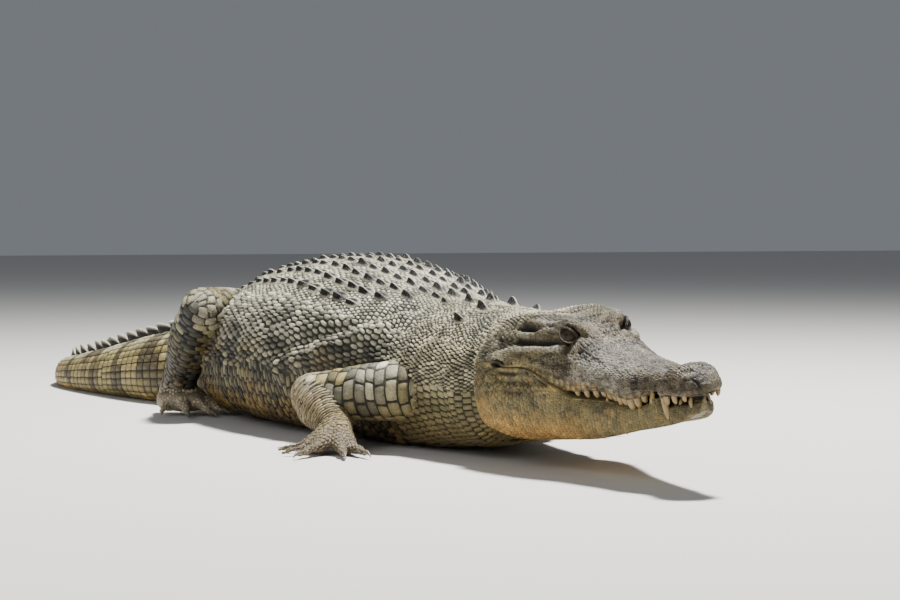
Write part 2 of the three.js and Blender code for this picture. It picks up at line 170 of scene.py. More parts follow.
def body_ring(aft, angle):
    """(out, up) of the trunk, neck or tail, the angle running from the top over the animal's right side."""
    top = body_top(aft)
    bottom = body_bottom(aft)
    waist = bottom + (top - bottom) * widest_at(aft)
    side = np.sin(angle)
    rise = np.cos(angle)
    power = 2 / np.where(rise > 0, BACK_ROUND, BELLY_ROUND)
    out = -np.sign(side) * np.abs(side) ** power * body_width(aft)
    reach = np.where(rise > 0, top - waist, waist - bottom)
    return out, waist + np.sign(rise) * np.abs(rise) ** power * reach


# Even steps round a ring: for each station, the angle at which each share of the half girth is reached.
RING_STEP = 20
SHARE_STEPS = 120
ring_aft = np.arange(560, TOTAL + 1, RING_STEP, dtype=float)
ring_angle = np.linspace(0, np.pi, 361)
ring_share = np.linspace(0, 1, SHARE_STEPS + 1)
ring_out, ring_up = body_ring(ring_aft[:, None], ring_angle[None])
ring_length = np.cumsum(np.hypot(np.diff(ring_out), np.diff(ring_up)), axis=1)
ring_length = np.hstack([np.zeros((len(ring_aft), 1)), ring_length])
half_girth = ring_length[:, -1]
angle_table = np.array([np.interp(ring_share, row / row[-1], ring_angle) for row in ring_length])


def body_angle(aft, share):
    """The angle at a share of the half girth: 0 on the back, 1 on the belly, below 0 on the left side."""
    row = np.clip((aft - ring_aft[0]) / RING_STEP, 0, len(ring_aft) - 1.001)
    column = np.clip(np.abs(share), 0, 1) * SHARE_STEPS
    i = row.astype(int)
    j = np.clip(column.astype(int), 0, SHARE_STEPS - 1)
    a = row - i
    b = column - j
    low = angle_table[i, j] * (1 - b) + angle_table[i, j + 1] * b
    high = angle_table[i + 1, j] * (1 - b) + angle_table[i + 1, j + 1] * b
    return np.sign(share) * (low * (1 - a) + high * a)


def body_place(aft, share):
    """A point of the body's plain form in the resting pose."""
    aft, share = np.broadcast_arrays(np.asarray(aft, float), share)
    out, up = body_ring(aft, body_angle(aft, share))
    return bend(aft, out, up)


# The head hangs on rails: the midline, the edge of the flat top, the cheek and the lip, then the lower jaw's
# lip, the bulge of its side, its lower edge and its keel.
crown = profile(
    (0, 70), (14, 88), (45, 102), (85, 90), (130, 92), (230, 106), (320, 132), (380, 158), (460, 176),
    (605, 178)
)
edge_out = profile(
    (0, 12), (14, 30), (45, 40), (95, 34), (160, 50), (260, 54), (330, 50), (385, 60), (470, 80), (605, 94)
)
edge_up = profile(
    (0, 66), (14, 82), (45, 96), (85, 84), (160, 88), (260, 102), (330, 136), (365, 175), (410, 177),
    (520, 180), (605, 172)
)
cheek_out = profile(
    (0, 16), (14, 40), (45, 54), (98, 44), (165, 68), (250, 72), (350, 88), (450, 118), (605, 142)
)
cheek_up = profile((0, 56), (45, 70), (98, 66), (165, 68), (250, 78), (350, 104), (450, 120), (605, 122))
lip_out = profile(
    (0, 15), (14, 38), (50, 53), (98, 42), (165, 66), (235, 68), (320, 86), (450, 122), (540, 142), (605, 148)
)
lip_up = profile(
    (0, 50), (45, 52), (75, 48), (98, 56), (120, 48), (165, 42), (215, 46), (260, 52), (320, 50), (343, 50),
    (370, 60), (400, 73), (430, 89), (457, 95), (500, 95), (540, 103), (605, 104)
)
jaw_lip_out = profile(
    (12, 6), (26, 24), (65, 32), (82, 32), (98, 52), (108, 51), (118, 42), (168, 46), (230, 50), (310, 70),
    (350, 92), (450, 120), (540, 142), (605, 146)
)
jaw_side_out = profile(
    (12, 8), (26, 30), (65, 38), (82, 36), (98, 52), (118, 48), (168, 54), (230, 60), (310, 82), (350, 98),
    (450, 134), (540, 160), (605, 158)
)
jaw_side_up = profile((10, 32), (98, 22), (320, 12), (480, 26), (605, 44))
jaw_edge_out = profile((10, 10), (24, 24), (60, 34), (165, 46), (320, 70), (450, 106), (580, 132), (605, 130))
jaw_edge_up = profile((10, 18), (60, 0), (165, -18), (320, -42), (480, -46), (605, -26))
keel_up = profile((10, 20), (60, 4), (200, -12), (400, -34), (605, -42))
mouth_gap = profile(
    (0, 12), (60, 16), (98, 10), (180, 15), (240, 20), (330, 13), (390, 4), (440, 0.4), (605, 0.4)
)
mouth_depth = profile((0, 10), (60, 24), (300, 22), (450, 14), (530, 6), (550, 0))
JAW_START = 12
LIP_SHARE = 0.55
JAW_SHARE = 0.61


def across(rail_points, t):
    """A Catmull-Rom curve over the rails, with one more point past each end."""
    points = np.stack([np.stack(np.broadcast_arrays(*p), -1) for p in rail_points])
    spans = len(points) - 3
    x = np.clip(t, 0, 1) * spans
    i = np.clip(x.astype(int), 0, spans - 1)
    f = (x - i)[..., None]
    every = np.arange(i.size)
    flat = points.reshape(len(points), -1, 2)
    p0, p1, p2, p3 = (flat[i.ravel() + k, every].reshape(i.shape + (2,)) for k in range(4))
    v1 = (p2 - p0) / 2
    v2 = (p3 - p1) / 2
    return p1 + v1 * f + (3 * (p2 - p1) - 2 * v1 - v2) * f**2 + (2 * (p1 - p2) + v1 + v2) * f**3


def head_ring(aft, share):
    """(aft, out, up) on the head; share runs from 0 on the crown, by lip and mouth, to 1 on the keel."""
    aft, share = np.broadcast_arrays(np.asarray(aft, float), share)
    w = np.abs(share)
    low_aft = JAW_START + aft * (HEAD_END - JAW_START) / HEAD_END
    upper = across(
        [
            (-edge_out(aft), edge_up(aft)),
            (0 * aft, crown(aft)),
            (edge_out(aft), edge_up(aft)),
            (cheek_out(aft), cheek_up(aft)),
            (lip_out(aft), lip_up(aft)),
            (lip_out(aft), lip_up(aft)),
        ],
        w / LIP_SHARE,
    )
    jaw_lip = (jaw_lip_out(low_aft), lip_up(low_aft) - mouth_gap(low_aft))
    lower = across(
        [
            jaw_lip,
            jaw_lip,
            (jaw_side_out(low_aft), jaw_side_up(low_aft)),
            (jaw_edge_out(low_aft), jaw_edge_up(low_aft)),
            (0 * aft, keel_up(low_aft)),
            (-jaw_edge_out(low_aft), jaw_edge_up(low_aft)),
        ],
        (w - JAW_SHARE) / (1 - JAW_SHARE),
    )
    through = np.clip((w - LIP_SHARE) / (JAW_SHARE - LIP_SHARE), 0, 1)
    mix = through * through * (3 - 2 * through)
    point = upper * (1 - mix[..., None]) + lower * mix[..., None]
    inward = mouth_depth(aft) * np.sqrt(np.clip(4 * through * (1 - through), 0, 1))
    out = np.maximum(point[..., 0] - inward, np.minimum(point[..., 0], 2))
    return aft * (1 - mix) + low_aft * mix, -np.sign(share) * out, point[..., 1]


# Large primes that mix a cell's place into one number.
PRIMES = np.array([73856093, 19349663, 83492791])


def cloud(points, size, seed=0):
    """Smooth random values from 0 to 1 that change over about size, in the points' own unit."""
    spread = np.asarray(points) / size + seed * 7.31
    cell = np.floor(spread).astype(np.int64)
    f = spread - cell
    f = f * f * (3 - 2 * f)
    total = 0
    for corner in np.ndindex(2, 2, 2):
        key = (cell + corner) @ PRIMES + seed * 977
        key = ((key ^ (key >> 13)) * 1274126177) & 0x7FFFFFFF
        value = ((key ^ (key >> 16)) & 0xFFFF) / 65535
        total = total + value * np.prod(np.where(corner, f, 1 - f), axis=-1)
    return total


def dab(aft, out, up, place, reach):
    """How near a spot on either side of the head is to a place: 1 at it, fading over its reach."""
    squares = ((aft - place[0]) / reach[0]) ** 2 + ((np.abs(out) - place[1]) / reach[1]) ** 2
    return np.exp(-squares - ((up - place[2]) / reach[2]) ** 2)


def along(aft, up, points, width):
    """How near a spot is, seen from the side, to a line through (aft, up) points."""
    nearest = np.full(np.shape(aft), 1e9)
    for (a0, u0), (a1, u1) in zip(points, points[1:]):
        length = (a1 - a0) ** 2 + (u1 - u0) ** 2
        t = np.clip(((aft - a0) * (a1 - a0) + (up - u0) * (u1 - u0)) / length, 0, 1)
        nearest = np.minimum(nearest, (aft - a0 - t * (a1 - a0)) ** 2 + (up - u0 - t * (u1 - u0)) ** 2)
    return np.exp(-nearest / width**2)


# (aft, length below the lip, width at the gum) of each pair of upper teeth.
UPPER_TEETH = [
    (16, 12, 9), (34, 14, 10), (56, 16, 12), (76, 45, 14), (132, 14, 13), (147, 18, 15), (164, 21, 17),
    (181, 18, 15), (197, 15, 14), (213, 14, 13), (232, 14, 13), (251, 15, 13), (272, 14, 13), (296, 13, 12),
    (320, 11, 11),
]
# Bones, muscles and pits of the head: (aft, out, up), reach each way, and how far the skin stands out.
HEAD_FORMS = [
    ((44, 0, 101), (30, 34, 16), 2.5),  # the disc round the nostrils
    ((46, 15, 101), (13, 10, 12), 3),
    ((46, 15, 103), (6, 5, 12), -5.5),  # nostril
    ((376, 60, 176), (26, 22, 12), 2),  # brow over the eye
    ((466, 106, 153), (26, 16, 7), 5),  # ear flap
    ((474, 96, 167), (28, 20, 7), -13),  # hollow under the skull table's rear corner
    ((446, 94, 163), (18, 16, 4), -7),
    ((440, 36, 176), (22, 15, 20), -4),  # hollows of the skull table
    ((323, 66, 121), (4, 20, 4), -6),  # pit before the eye
    ((524, 140, 104), (20, 30, 6), -8),  # corner of the mouth
    ((470, 128, 82), (44, 30, 6), 5),  # fold under it
    ((545, 150, 40), (50, 40, 36), 5),  # jaw muscle
    ((120, 0, 92), (26, 20, 20), -3),  # dip behind the nostrils
    ((300, 66, 84), (70, 20, 16), 3),  # cheek
    ((345, 60, 116), (22, 16, 10), -4),  # hollow before the eye
]
HEAD_LINES = [
    ([(540, 116), (531, 119), (496, 128), (455, 130), (412, 130), (365, 126)], 5, 6),  # cheek bone's rim
    ([(486, 145), (441, 141), (403, 140), (379, 139), (350, 128)], 7, -11),  # slit behind the eye
    ([(380, 172), (430, 174), (452, 176)], 4, 3),  # rim of the skull table
    ([(358, 159), (395, 163), (436, 159)], 3.5, 3),  # the upper lid's fold, running back
    ([(556, 92), (520, 86), (470, 83), (434, 76), (396, 62)], 3.5, -7),  # creases below the mouth's corner
    ([(556, 74), (520, 73), (470, 70), (430, 64)], 3, -5),
    ([(552, 56), (505, 57), (452, 50)], 3, -3),
    ([(300, 118), (262, 98), (214, 92), (150, 88)], 5, -2),  # furrow along the side of the snout
    ([(430, 114), (380, 102), (330, 94)], 5, -3),  # folds of the cheek
    ([(460, 106), (410, 92), (366, 80)], 4, -3),
    ([(340, 112), (290, 90), (230, 78)], 5, 2),
]


def head_grain(aft, out, up, share):
    """Wrinkles and lumps of the hide over the skull, in millimetres, faintest on the jaw."""
    spot = np.stack([aft * 0.8, out, up], -1)
    upper = np.clip(1 - np.abs(share) / (LIP_SHARE + 0.02), 0, 1) ** 0.35
    creases = np.minimum(6 * np.abs(2 * cloud(spot, 22, 3) - 1), 1) - 0.75
    fine = np.minimum(4 * np.abs(2 * cloud(spot, 10, 4) - 1), 1) - 0.7
    lumps = (cloud(spot, 34, 13) - 0.5) * 3
    return (creases * 2.4 + fine * 1.6 + lumps) * (0.25 + 0.75 * upper)


def on_side(out):
    """How far a spot is off the head's midline: 0 near it, where the lines don't run, and 1 on the side."""
    return np.clip((np.abs(out) - 30) / 20, 0, 1)


def lip_pleat(aft, out, up):
    """The fine upright pleats of the lip, from -1 in a groove to 1 on a ridge."""
    return np.sin(aft / 2.3 + 4 * cloud(np.stack([aft, out, up], -1), 30, 8))


def head_relief(aft, out, up, share):
    """How far, in millimetres, the skin of the head stands out from its plain form."""
    total = 0
    for place, reach, amount in HEAD_FORMS:
        total = total + amount * dab(aft, out, up, place, reach)
    side = on_side(out)
    for points, width, amount in HEAD_LINES:
        total = total + amount * side * along(aft, up, points, width)
    for tooth_aft, length, width in UPPER_TEETH:
        gum = (tooth_aft, lip_out(tooth_aft), lip_up(tooth_aft) + 8)
        total = total + 0.26 * width * dab(aft, out, up, gum, (6, 12, 12))
    lip = np.exp(-(((up - lip_up(aft) - 10) / 12) ** 2)) * np.clip((430 - aft) / 40, 0, 1) * side
    total = total + 0.9 * lip * lip_pleat(aft, out, up)
    total = total + head_grain(aft, out, up, share) * np.clip((640 - aft) / 120, 0.2, 1)
    spot = np.stack([aft, out, up], -1)
    folds = np.sin(up / 3.1 + 3 * cloud(spot, 40, 5)) * cloud(spot, 30, 6)
    return total + folds * 1.1 * np.clip((aft - 430) / 80, 0, 1) * np.clip((620 - aft) / 40, 0, 1)


# How deep the head's skin lies under the solid form, and how its rear is drawn in to end inside the neck.
HEAD_SKIN = 2
tuck = profile((590, 1), (606, 0.985), (622, 0.93), (636, 0.83), (646, 0.7), (652, 0.5))


def head_spot(aft, share, rise=0):
    """(aft, out, up) on the head's skin, or rise millimetres above it."""
    aft, share = np.broadcast_arrays(np.asarray(aft, float), share)
    here = np.stack(head_ring(aft, share), -1)
    ahead = np.stack(head_ring(aft + 1, share), -1) - np.stack(head_ring(aft - 1, share), -1)
    round_it = np.stack(head_ring(aft, share + 0.004), -1) - np.stack(head_ring(aft, share - 0.004), -1)
    normal = np.cross(round_it, ahead)
    normal /= np.linalg.norm(normal, axis=-1, keepdims=True) + 1e-9
    swell = head_relief(here[..., 0], here[..., 1], here[..., 2], share) - HEAD_SKIN + rise
    spot = here + normal * swell[..., None]
    centre = np.array([0, 0, 60])
    size = tuck(np.maximum(aft, 0))[..., None]
    return centre + (spot - centre) * np.concatenate([np.ones_like(size), size, size], -1)


# Each eye looks out, forward and a little up. The skin drops away round it, and the lids are thick rings
# that hug the eyeball and leave an almond open.
EYE_LOOKS = np.array([-0.62, 0.77, 0.16])
EYE_TILT = math.radians(32)
LID_LONG = 20.5
LID_TALL = 12


def eye_frame(side):
    """An eye's centre, the way it looks, and the lengths of its opening: back and up along the brow."""
    look = EYE_LOOKS * (1, side, 1)
    look = look / np.linalg.norm(look)
    level = np.cross((0, 0, 1), look) * -side
    level /= np.linalg.norm(level)
    upright = np.cross(level, look) * side
    back = level * math.cos(EYE_TILT) + upright * math.sin(EYE_TILT)
    high = upright * math.cos(EYE_TILT) - level * math.sin(EYE_TILT)
    return np.array([EYE["aft"], side * EYE["out"], EYE["up"]]), look, back, high


def round_eye(spot):
    """Keeps the skin off the eyeballs, and sinks it inside the lids' opening."""
    for side in (-1, 1):
        centre, look, back, high = eye_frame(side)
        arm = spot - centre
        reach = np.linalg.norm(arm, axis=-1)
        unit = arm / (reach[..., None] + 1e-9)
        along_lid = unit @ back * EYE["radius"] / LID_LONG
        over_lid = unit @ high * EYE["radius"] / (LID_TALL + 2)
        across_lid = np.hypot(along_lid, over_lid)
        facing = unit @ look
        least = EYE["radius"] + 1.6
        sunk = np.clip((1.56 - across_lid) / 0.3, 0, 1) * np.clip((46 - reach) / 10, 0, 1) * (facing > 0.2)
        kept = reach + (np.clip(reach, least, least + 1.6) - reach) * sunk
        kept = np.where(facing > -0.4, np.maximum(kept, least), kept)
        kept = kept - 9 * np.clip((1.22 - across_lid) / 0.12, 0, 1) * sunk
        spot = centre + unit * kept[..., None]
    return spot


def lid_ring(side, around=72):
    """A closed ring of lid; its section is (share of the opening, distance from the eye's centre) pairs."""
    centre, look, back, high = eye_frame(side)
    radius = EYE["radius"]
    section = np.array([
        (0.97, radius + 0.4), (1.0, radius + 1.2), (1.06, radius + 1.7), (1.13, radius + 1.4),
        (1.19, radius + 0.8), (1.26, radius + 1.6), (1.34, radius + 1.3), (1.42, radius - 1),
        (1.36, radius - 6), (1.2, radius - 5), (1.0, radius - 2.5),
    ])
    turn = np.linspace(0, 2 * np.pi, around, endpoint=False)
    x = np.cos(turn)[:, None] * section[:, 0] * LID_LONG
    almond = np.sin(turn) * np.abs(np.sin(turn)) ** 0.3 * np.where(np.sin(turn) > 0, 0.8, 1)
    y = almond[:, None] * section[:, 0] * LID_TALL
    flat = np.hypot(x, y) / radius
    lean = np.minimum(flat, 1.5)
    unit = look * np.cos(lean)[..., None]
    unit = unit + (back * x[..., None] + high * y[..., None]) / radius * (np.sin(lean) / flat)[..., None]
    hood = np.where(section[:, 1] > radius, np.clip(np.sin(turn), 0, 1)[:, None] * 1.2, 0)
    return centre + unit * (section[:, 1][None] + hood)[..., None]


def smooth(x, low, high):
    """0 up to low, 1 from high on, and a soft step between them."""
    t = np.clip((np.asarray(x, float) - low) / (high - low), 0, 1)
    return t * t * (3 - 2 * t)


def colour(red, green, blue):
    """A colour as the eye names it, from 0 to 255, turned into light."""
    share = np.array([red, green, blue]) / 255
    return np.where(share < 0.04, share / 12.92, ((share + 0.055) / 1.055) ** 2.4)


def blend(a, b, t):
    """From colour a to colour b by the share t."""
    return a + (b - a) * np.asarray(t)[..., None]


SILVER = colour(194, 190, 168)
SLATE = colour(50, 52, 48)
OLIVE = colour(136, 124, 78)
SAND = colour(168, 157, 118)
TAN = colour(190, 156, 90)
CREAM = colour(208, 186, 126)
OCHRE = colour(196, 138, 56)
UMBER = colour(62, 48, 30)
NIGHT = colour(20, 18, 14)
LILAC = colour(158, 151, 134)
BARK = colour(116, 104, 82)
MOSS = colour(132, 121, 82)


def speckle(points, size, seed, low=0.5, high=0.68):
    """Ragged patches, about size metres wide."""
    value = cloud(points, size, seed) * 0.62 + cloud(points, size / 3, seed + 1) * 0.38
    return smooth(value, low, high)


def body_markings(points, aft, share):
    """Silver grey back, flanks dappled dark and with painted sheen, painted shade on the tan below, soft dark
    tail bands.
    """
    g = np.abs(share)
    patch = cloud(points, 0.12, 1) * 0.7 + cloud(points, 0.04, 11) * 0.3
    tint = blend(SILVER * 1.65, SAND, smooth(patch, 0.45, 0.8) * 0.5)
    tint = blend(tint, OLIVE, smooth(g + 0.2 * (patch - 0.5), 0.36, 0.56) * 0.8)
    # Pale silver patches on the flanks: painted sheen.
    dapple = speckle(points, 0.13, 15) * smooth(g, 0.3, 0.4) * smooth(0.64 - g, 0, 0.1)
    tint = blend(tint, SILVER, dapple * 0.8)
    tint = tint * (1 - 0.3 * smooth(g, 0.3, 0.38))[..., None]
    tint = blend(tint, TAN, smooth(g + 0.25 * (patch - 0.5), 0.48, 0.6))
    dirt = blend(SLATE, UMBER * 0.7, smooth(g, 0.48, 0.56))
    tint = blend(tint, dirt, speckle(points, 0.06, 2, 0.54, 0.64) * smooth(g, 0.34, 0.5) * 0.85)
    tint = blend(tint, dirt, speckle(points, 0.024, 21, 0.54, 0.66) * 0.65)
    neck = smooth(980 - aft, 0, 140)
    nape = blend(blend(SAND, SILVER, 0.5) * 1.6, SLATE, speckle(points, 0.035, 23, 0.5, 0.66) * 0.6)
    throat = blend(SAND, TAN, smooth(g + 0.2 * (patch - 0.5), 0.5, 0.8) * 0.6) * 1.15
    tint = blend(tint, blend(nape, throat, smooth(g + 0.2 * (patch - 0.5), 0.4, 0.56)), neck)
    # Lower down the sides the tint is darkened as painted shade, and made warmer.
    tint = tint * (1 - 0.4 * smooth(g + 0.1 * (patch - 0.5), 0.46, 0.58))[..., None]
    low = smooth(g, 0.44, 0.56)[..., None]
    tint = tint * (1 - low + low * np.array([0.79, 0.79, 0.65]))
    tint = blend(tint, CREAM, smooth(g, 0.84, 0.94) * 0.7)
    tail = smooth(aft, 2080, 2300)
    wave = np.sin(aft / 31 + 7 * (patch - 0.5) + 2 * g)
    band = smooth(wave + 1.2 * (cloud(points, 0.03, 12) - 0.5), 0.1, 0.9)
    ground = blend(OLIVE, TAN, smooth(g + patch, 1.05, 1.55))
    ground = blend(ground, SILVER, smooth(0.35 - g, 0, 0.2) * 0.5) * 1.85
    return blend(tint, blend(ground, UMBER, band * 0.8), tail)


def limb_markings(points):
    """Grey-tan legs with slate blotches; the shanks are the darkest and the paws a dull brown, with painted
    light on the hind feet.
    """
    patch = cloud(points, 0.07, 5)
    height = points[..., 2]
    hind = smooth(0.3 - points[..., 0], 0, 0.05)
    tint = blend(OLIVE, SILVER, smooth(patch, 0.25, 0.65) * 0.75)
    tint = blend(tint, TAN, smooth(0.13 - height + 0.12 * (patch - 0.5), 0, 0.07) * 0.6)
    blotch = speckle(points, 0.06, 6, 0.56, 0.66) * (0.5 + 0.45 * hind)
    tint = blend(tint, SLATE, blotch)
    tint = blend(tint, NIGHT, hind * smooth(0.24 - height, 0, 0.06) * smooth(patch, 0.2, 0.5) * 0.8)
    # The upper arms are painted much lighter: painted light that makes up for the shade the main lamp leaves on
    # them.
    tint = tint * (1 + 0.95 * smooth(height, 0.1, 0.15) * (1 - hind))[..., None]
    tint = blend(tint, MOSS * (1.15, 1.25, 1.6), (1 - hind) * smooth(0.14 - height, 0, 0.05) * 0.4)
    low = (hind * smooth(0.26 - height, 0, 0.06))[..., None]
    tint = tint * (1 - low + low * np.array([0.82, 0.75, 0.5]))
    # The hind feet are painted far lighter: painted light that makes up for the shadow the leg casts on them.
    paw = blend(BARK * 1.6, BARK * (5.2, 5.6, 6.5), hind)
    return blend(tint, paw, smooth(0.055 + 0.02 * hind - height, -0.012, 0.02) * 0.85)


def head_markings(points, aft, out, up, share):
    """Grey-brown over the skull, paler on the cheek, a tan lip, and a jaw drab above and ochre below."""
    w = np.abs(share)
    patch = cloud(points, 0.07, 7) * 0.65 + cloud(points, 0.022, 17) * 0.35
    fine = cloud(points, 0.012, 8)
    cheek = dab(aft, out, up, (300, 66, 84), (120, 40, 30))
    tint = blend(BARK, LILAC, smooth(patch + 0.4 * cheek, 0.46, 0.84))
    tint = blend(tint, OLIVE, smooth(cloud(points, 0.09, 9) + 0.5 * smooth(aft, 300, 460), 0.7, 1.05) * 0.6)
    rear = smooth(aft, 470, 540)
    tint = blend(tint, body_markings(points, 640 + 0 * aft, 0.3 + 0 * aft), rear * smooth(0.5 - w, 0, 0.05))
    lip = smooth(w + 0.06 * (patch - 0.5), 0.43, 0.51) * smooth(0.575 - w, 0, 0.02) * smooth(470 - aft, 0, 60)
    lip = lip * smooth(patch + 0.45 * smooth(aft, 110, 200), 0.3, 0.6)
    streak = 0.5 + 0.5 * lip_pleat(aft, out, up)
    tint = blend(tint, blend(blend(TAN, OLIVE, smooth(fine, 0.3, 0.6)), UMBER, streak * 0.85), lip * 0.85)
    low = smooth(w + 0.14 * (patch - 0.5) + 0.05 * smooth(aft, 430, 560), 0.74, 0.86)
    drab = blend(MOSS, TAN, smooth(fine, 0.4, 0.9) * 0.4)
    warm = blend(TAN, OCHRE, patch * 0.8)
    jaw_tint = blend(drab, warm, low * smooth(aft, 180, 480) * 0.8)
    # Towards the chin's tip the jaw is painted darker: painted shade that tones down the front lamp's light
    # there.
    chin = 0.45 * smooth(110 - aft, 0, 70) + 0.3 * smooth(34 - aft, 0, 18)
    jaw_tint = jaw_tint * (1.32 + 0.3 * low - chin)[..., None]
    jaw_tint = blend(jaw_tint, SLATE, speckle(points, 0.02, 18, 0.5, 0.7) * smooth(0.8 - w, 0, 0.08) * 0.55)
    jaw_tint = blend(jaw_tint, CREAM, smooth(w, 0.88, 0.95) * smooth(aft, 160, 260) * 0.6)
    tint = blend(tint, jaw_tint, smooth(w, 0.575, 0.6))
    grain = head_grain(aft, out, up, share)
    tint = tint * (1.05 - 0.3 * smooth(0.4 - w, -0.08, 0.08) * (w < LIP_SHARE))[..., None]
    # The grain's hollows are painted darker and its lumps paler: painted shade and painted highlight.
    tint = tint * np.clip(0.8 + 0.34 * grain, 0.1, 1.5)[..., None]
    flecks = 0.3 + 0.3 * smooth(aft, 360, 460) * (w < 0.4)
    tint = blend(tint, NIGHT, speckle(points, 0.013, 19) * flecks)
    # Painted highlights on the ridges and the ear flap.
    tint = blend(tint, SILVER * 1.25, head_painted_highlight(aft, out, up) * 0.6)
    # The pits and slits take dirt and painted shade.
    return blend(tint, NIGHT, head_shade(aft, out, up))


def head_shade(aft, out, up):
    """How dark the head's pits and slits are painted: the dirt that lies in them, and painted shade."""
    total = 0
    for place, reach, amount in HEAD_FORMS:
        total = total + dab(aft, out, up, place, reach) * np.clip(-amount / 6 - 0.5, 0, 1) * 1.5
    side = on_side(out)
    for points, width, amount in HEAD_LINES:
        total = total + side * along(aft, up, points, width * 0.9) * np.clip(-amount / 6 - 0.3, 0, 1) * 1.1
    return np.clip(total, 0, 0.96)


def head_painted_highlight(aft, out, up):
    """How much painted highlight lies along the head's ridges and on the ear flap."""
    total = 0
    side = on_side(out)
    for points, width, amount in HEAD_LINES:
        total = total + side * along(aft, up, points, width * 0.9) * np.clip(amount / 6, 0, 1)
    total = total + dab(aft, out, up, (466, 106, 153), (22, 16, 6)) * 0.7
    return np.clip(total, 0, 1) * smooth(530 - aft, -12, 12)


class Value:
    """A shader value that arithmetic can be done on."""

    def __init__(self, finish, socket):
        self.finish = finish
        self.socket = socket

    def math(self, operation, first, second):
        node = self.finish.add("ShaderNodeMath", {"operation": operation}, {0: first, 1: second})
        return Value(self.finish, node.outputs[0])

    def __add__(self, other):
        return self.math("ADD", self, other)

    def __sub__(self, other):
        return self.math("SUBTRACT", self, other)

    def __rsub__(self, other):
        return self.math("SUBTRACT", other, self)

    def __mul__(self, other):
        return self.math("MULTIPLY", self, other)

    __radd__ = __add__
    __rmul__ = __mul__


class Finish:
    """A material being made, with one way to add a node."""

    def __init__(self, name):
        self.material = bpy.data.materials.new(name)
        self.material.use_nodes = True
        self.nodes = self.material.node_tree.nodes
        self.links = self.material.node_tree.links
        self.shader = self.nodes["Principled BSDF"]

    def set(self, node, values):
        for key, value in values.items():
            if isinstance(value, Value):
                self.links.new(value.socket, node.inputs[key])
            else:
                node.inputs[key].default_value = value

    def add(self, kind, settings, values):
        node = self.nodes.new(kind)
        for key, value in settings.items():
            if key == "stops":
                for stop, (place, level) in zip(node.color_ramp.elements, value):
                    stop.position = place
                    stop.color = (level, level, level, 1)
            else:
                setattr(node, key, value)
        self.set(node, values)
        return node

    def out(self, kind, settings, values, socket=0):
        return Value(self, self.add(kind, settings, values).outputs[socket])

    def mix(self, factor, first, second, kind="MIX"):
        values = {0: factor, 6: first, 7: second}
        return self.out("ShaderNodeMix", {"data_type": "RGBA", "blend_type": kind}, values, 2)


DUST = (0.62, 0.6, 0.55, 1)
EARTH = (0.4, 0.33, 0.24, 1)


def hide_finish(name, grain, crack, rough, dirt):
    """Leather: its tint from the markings, mottled and dusty, with a fine grain and fine cracks."""
    finish = Finish(name)
    place = finish.out("ShaderNodeTexCoord", {}, {}, "Object")
    tint = finish.out("ShaderNodeAttribute", {"attribute_name": "Tint"}, {}, "Color")
    fine = finish.out(
        "ShaderNodeTexNoise", {}, {"Vector": place, "Scale": grain, "Detail": 4.0, "Roughness": 0.65}
    )
    broad = finish.out("ShaderNodeTexNoise", {}, {"Vector": place, "Scale": grain / 9, "Detail": 2.0})
    cells = finish.out(
        "ShaderNodeTexVoronoi", {"feature": "DISTANCE_TO_EDGE"}, {"Vector": place, "Scale": crack}, "Distance"
    )
    edge = finish.out(
        "ShaderNodeMapRange", {}, {"Value": cells, "From Max": 0.12, "To Min": 0.0, "To Max": 1.0}
    )
    dust = finish.out("ShaderNodeValToRGB", {"stops": ((0.35, 0.0), (0.75, 1.0))}, {"Fac": broad})
    worn = finish.mix(dust * 0.6, tint, DUST, "MULTIPLY")
    dark = finish.mix((1 - edge) * 0.4, worn, tuple(NIGHT) + (1,))
    spots = finish.out("ShaderNodeMapRange", {}, {
        "Value": fine, "From Min": 0.62, "From Max": 0.3, "To Min": 0.0, "To Max": dirt
    })
    mottled = finish.mix(spots, dark, EARTH, "MULTIPLY")
    height = fine * 0.7 + edge * 0.5 + broad * 0.5
    bump = finish.out("ShaderNodeBump", {}, {"Height": height, "Strength": 0.75, "Distance": 0.0022})
    finish.set(finish.shader, {
        "Base Color": mottled,
        "Roughness": fine * 0.25 + rough,
        "Normal": bump,
        "Specular IOR Level": 0.3,
    })
    return finish.material


# The skin in the grooves between the body's and the legs' scales keeps this share of the markings' lightness:
# its own darker colour and painted shade deep in the grooves.
GROOVE = 0.07


def with_ends(tints):
    """A tube's tints, with one more for the middle of either end."""
    return np.vstack([tints.reshape(-1, 3), tints[0].mean(0), tints[-1].mean(0)])


def tint_object(made, tints):
    """Gives a mesh the tint of each of its points."""
    layer = made.data.color_attributes.new("Tint", "FLOAT_COLOR", "POINT")
    layer.data.foreach_set("color", np.column_stack([tints, np.ones(len(tints))]).astype(np.float32).ravel())
    made.data.color_attributes.active_color = layer


HEAD_AFT = np.concatenate(
    [[0, 1, 2.5, 4.5, 7, 10], np.arange(13, 290, 3.2), np.arange(290, 562, 2.1), np.arange(562, 652, 6)]
)
HEAD_ROUND = np.concatenate([
    np.linspace(0, 0.14, 15), np.linspace(0.14, LIP_SHARE, 66)[1:], np.linspace(LIP_SHARE, JAW_SHARE, 10)[1:],
    np.linspace(JAW_SHARE, 1, 28)[1:],
])
BODY_AFT = np.concatenate(
    [np.linspace(532, 2100, 132), np.linspace(2112, 3960, 120), [3975, 3988, 3996, TOTAL]]
)
BODY_ROUND = np.linspace(0, 1, 45)
BODY_SKIN = 3.5
SHIELD_SKIN = 10


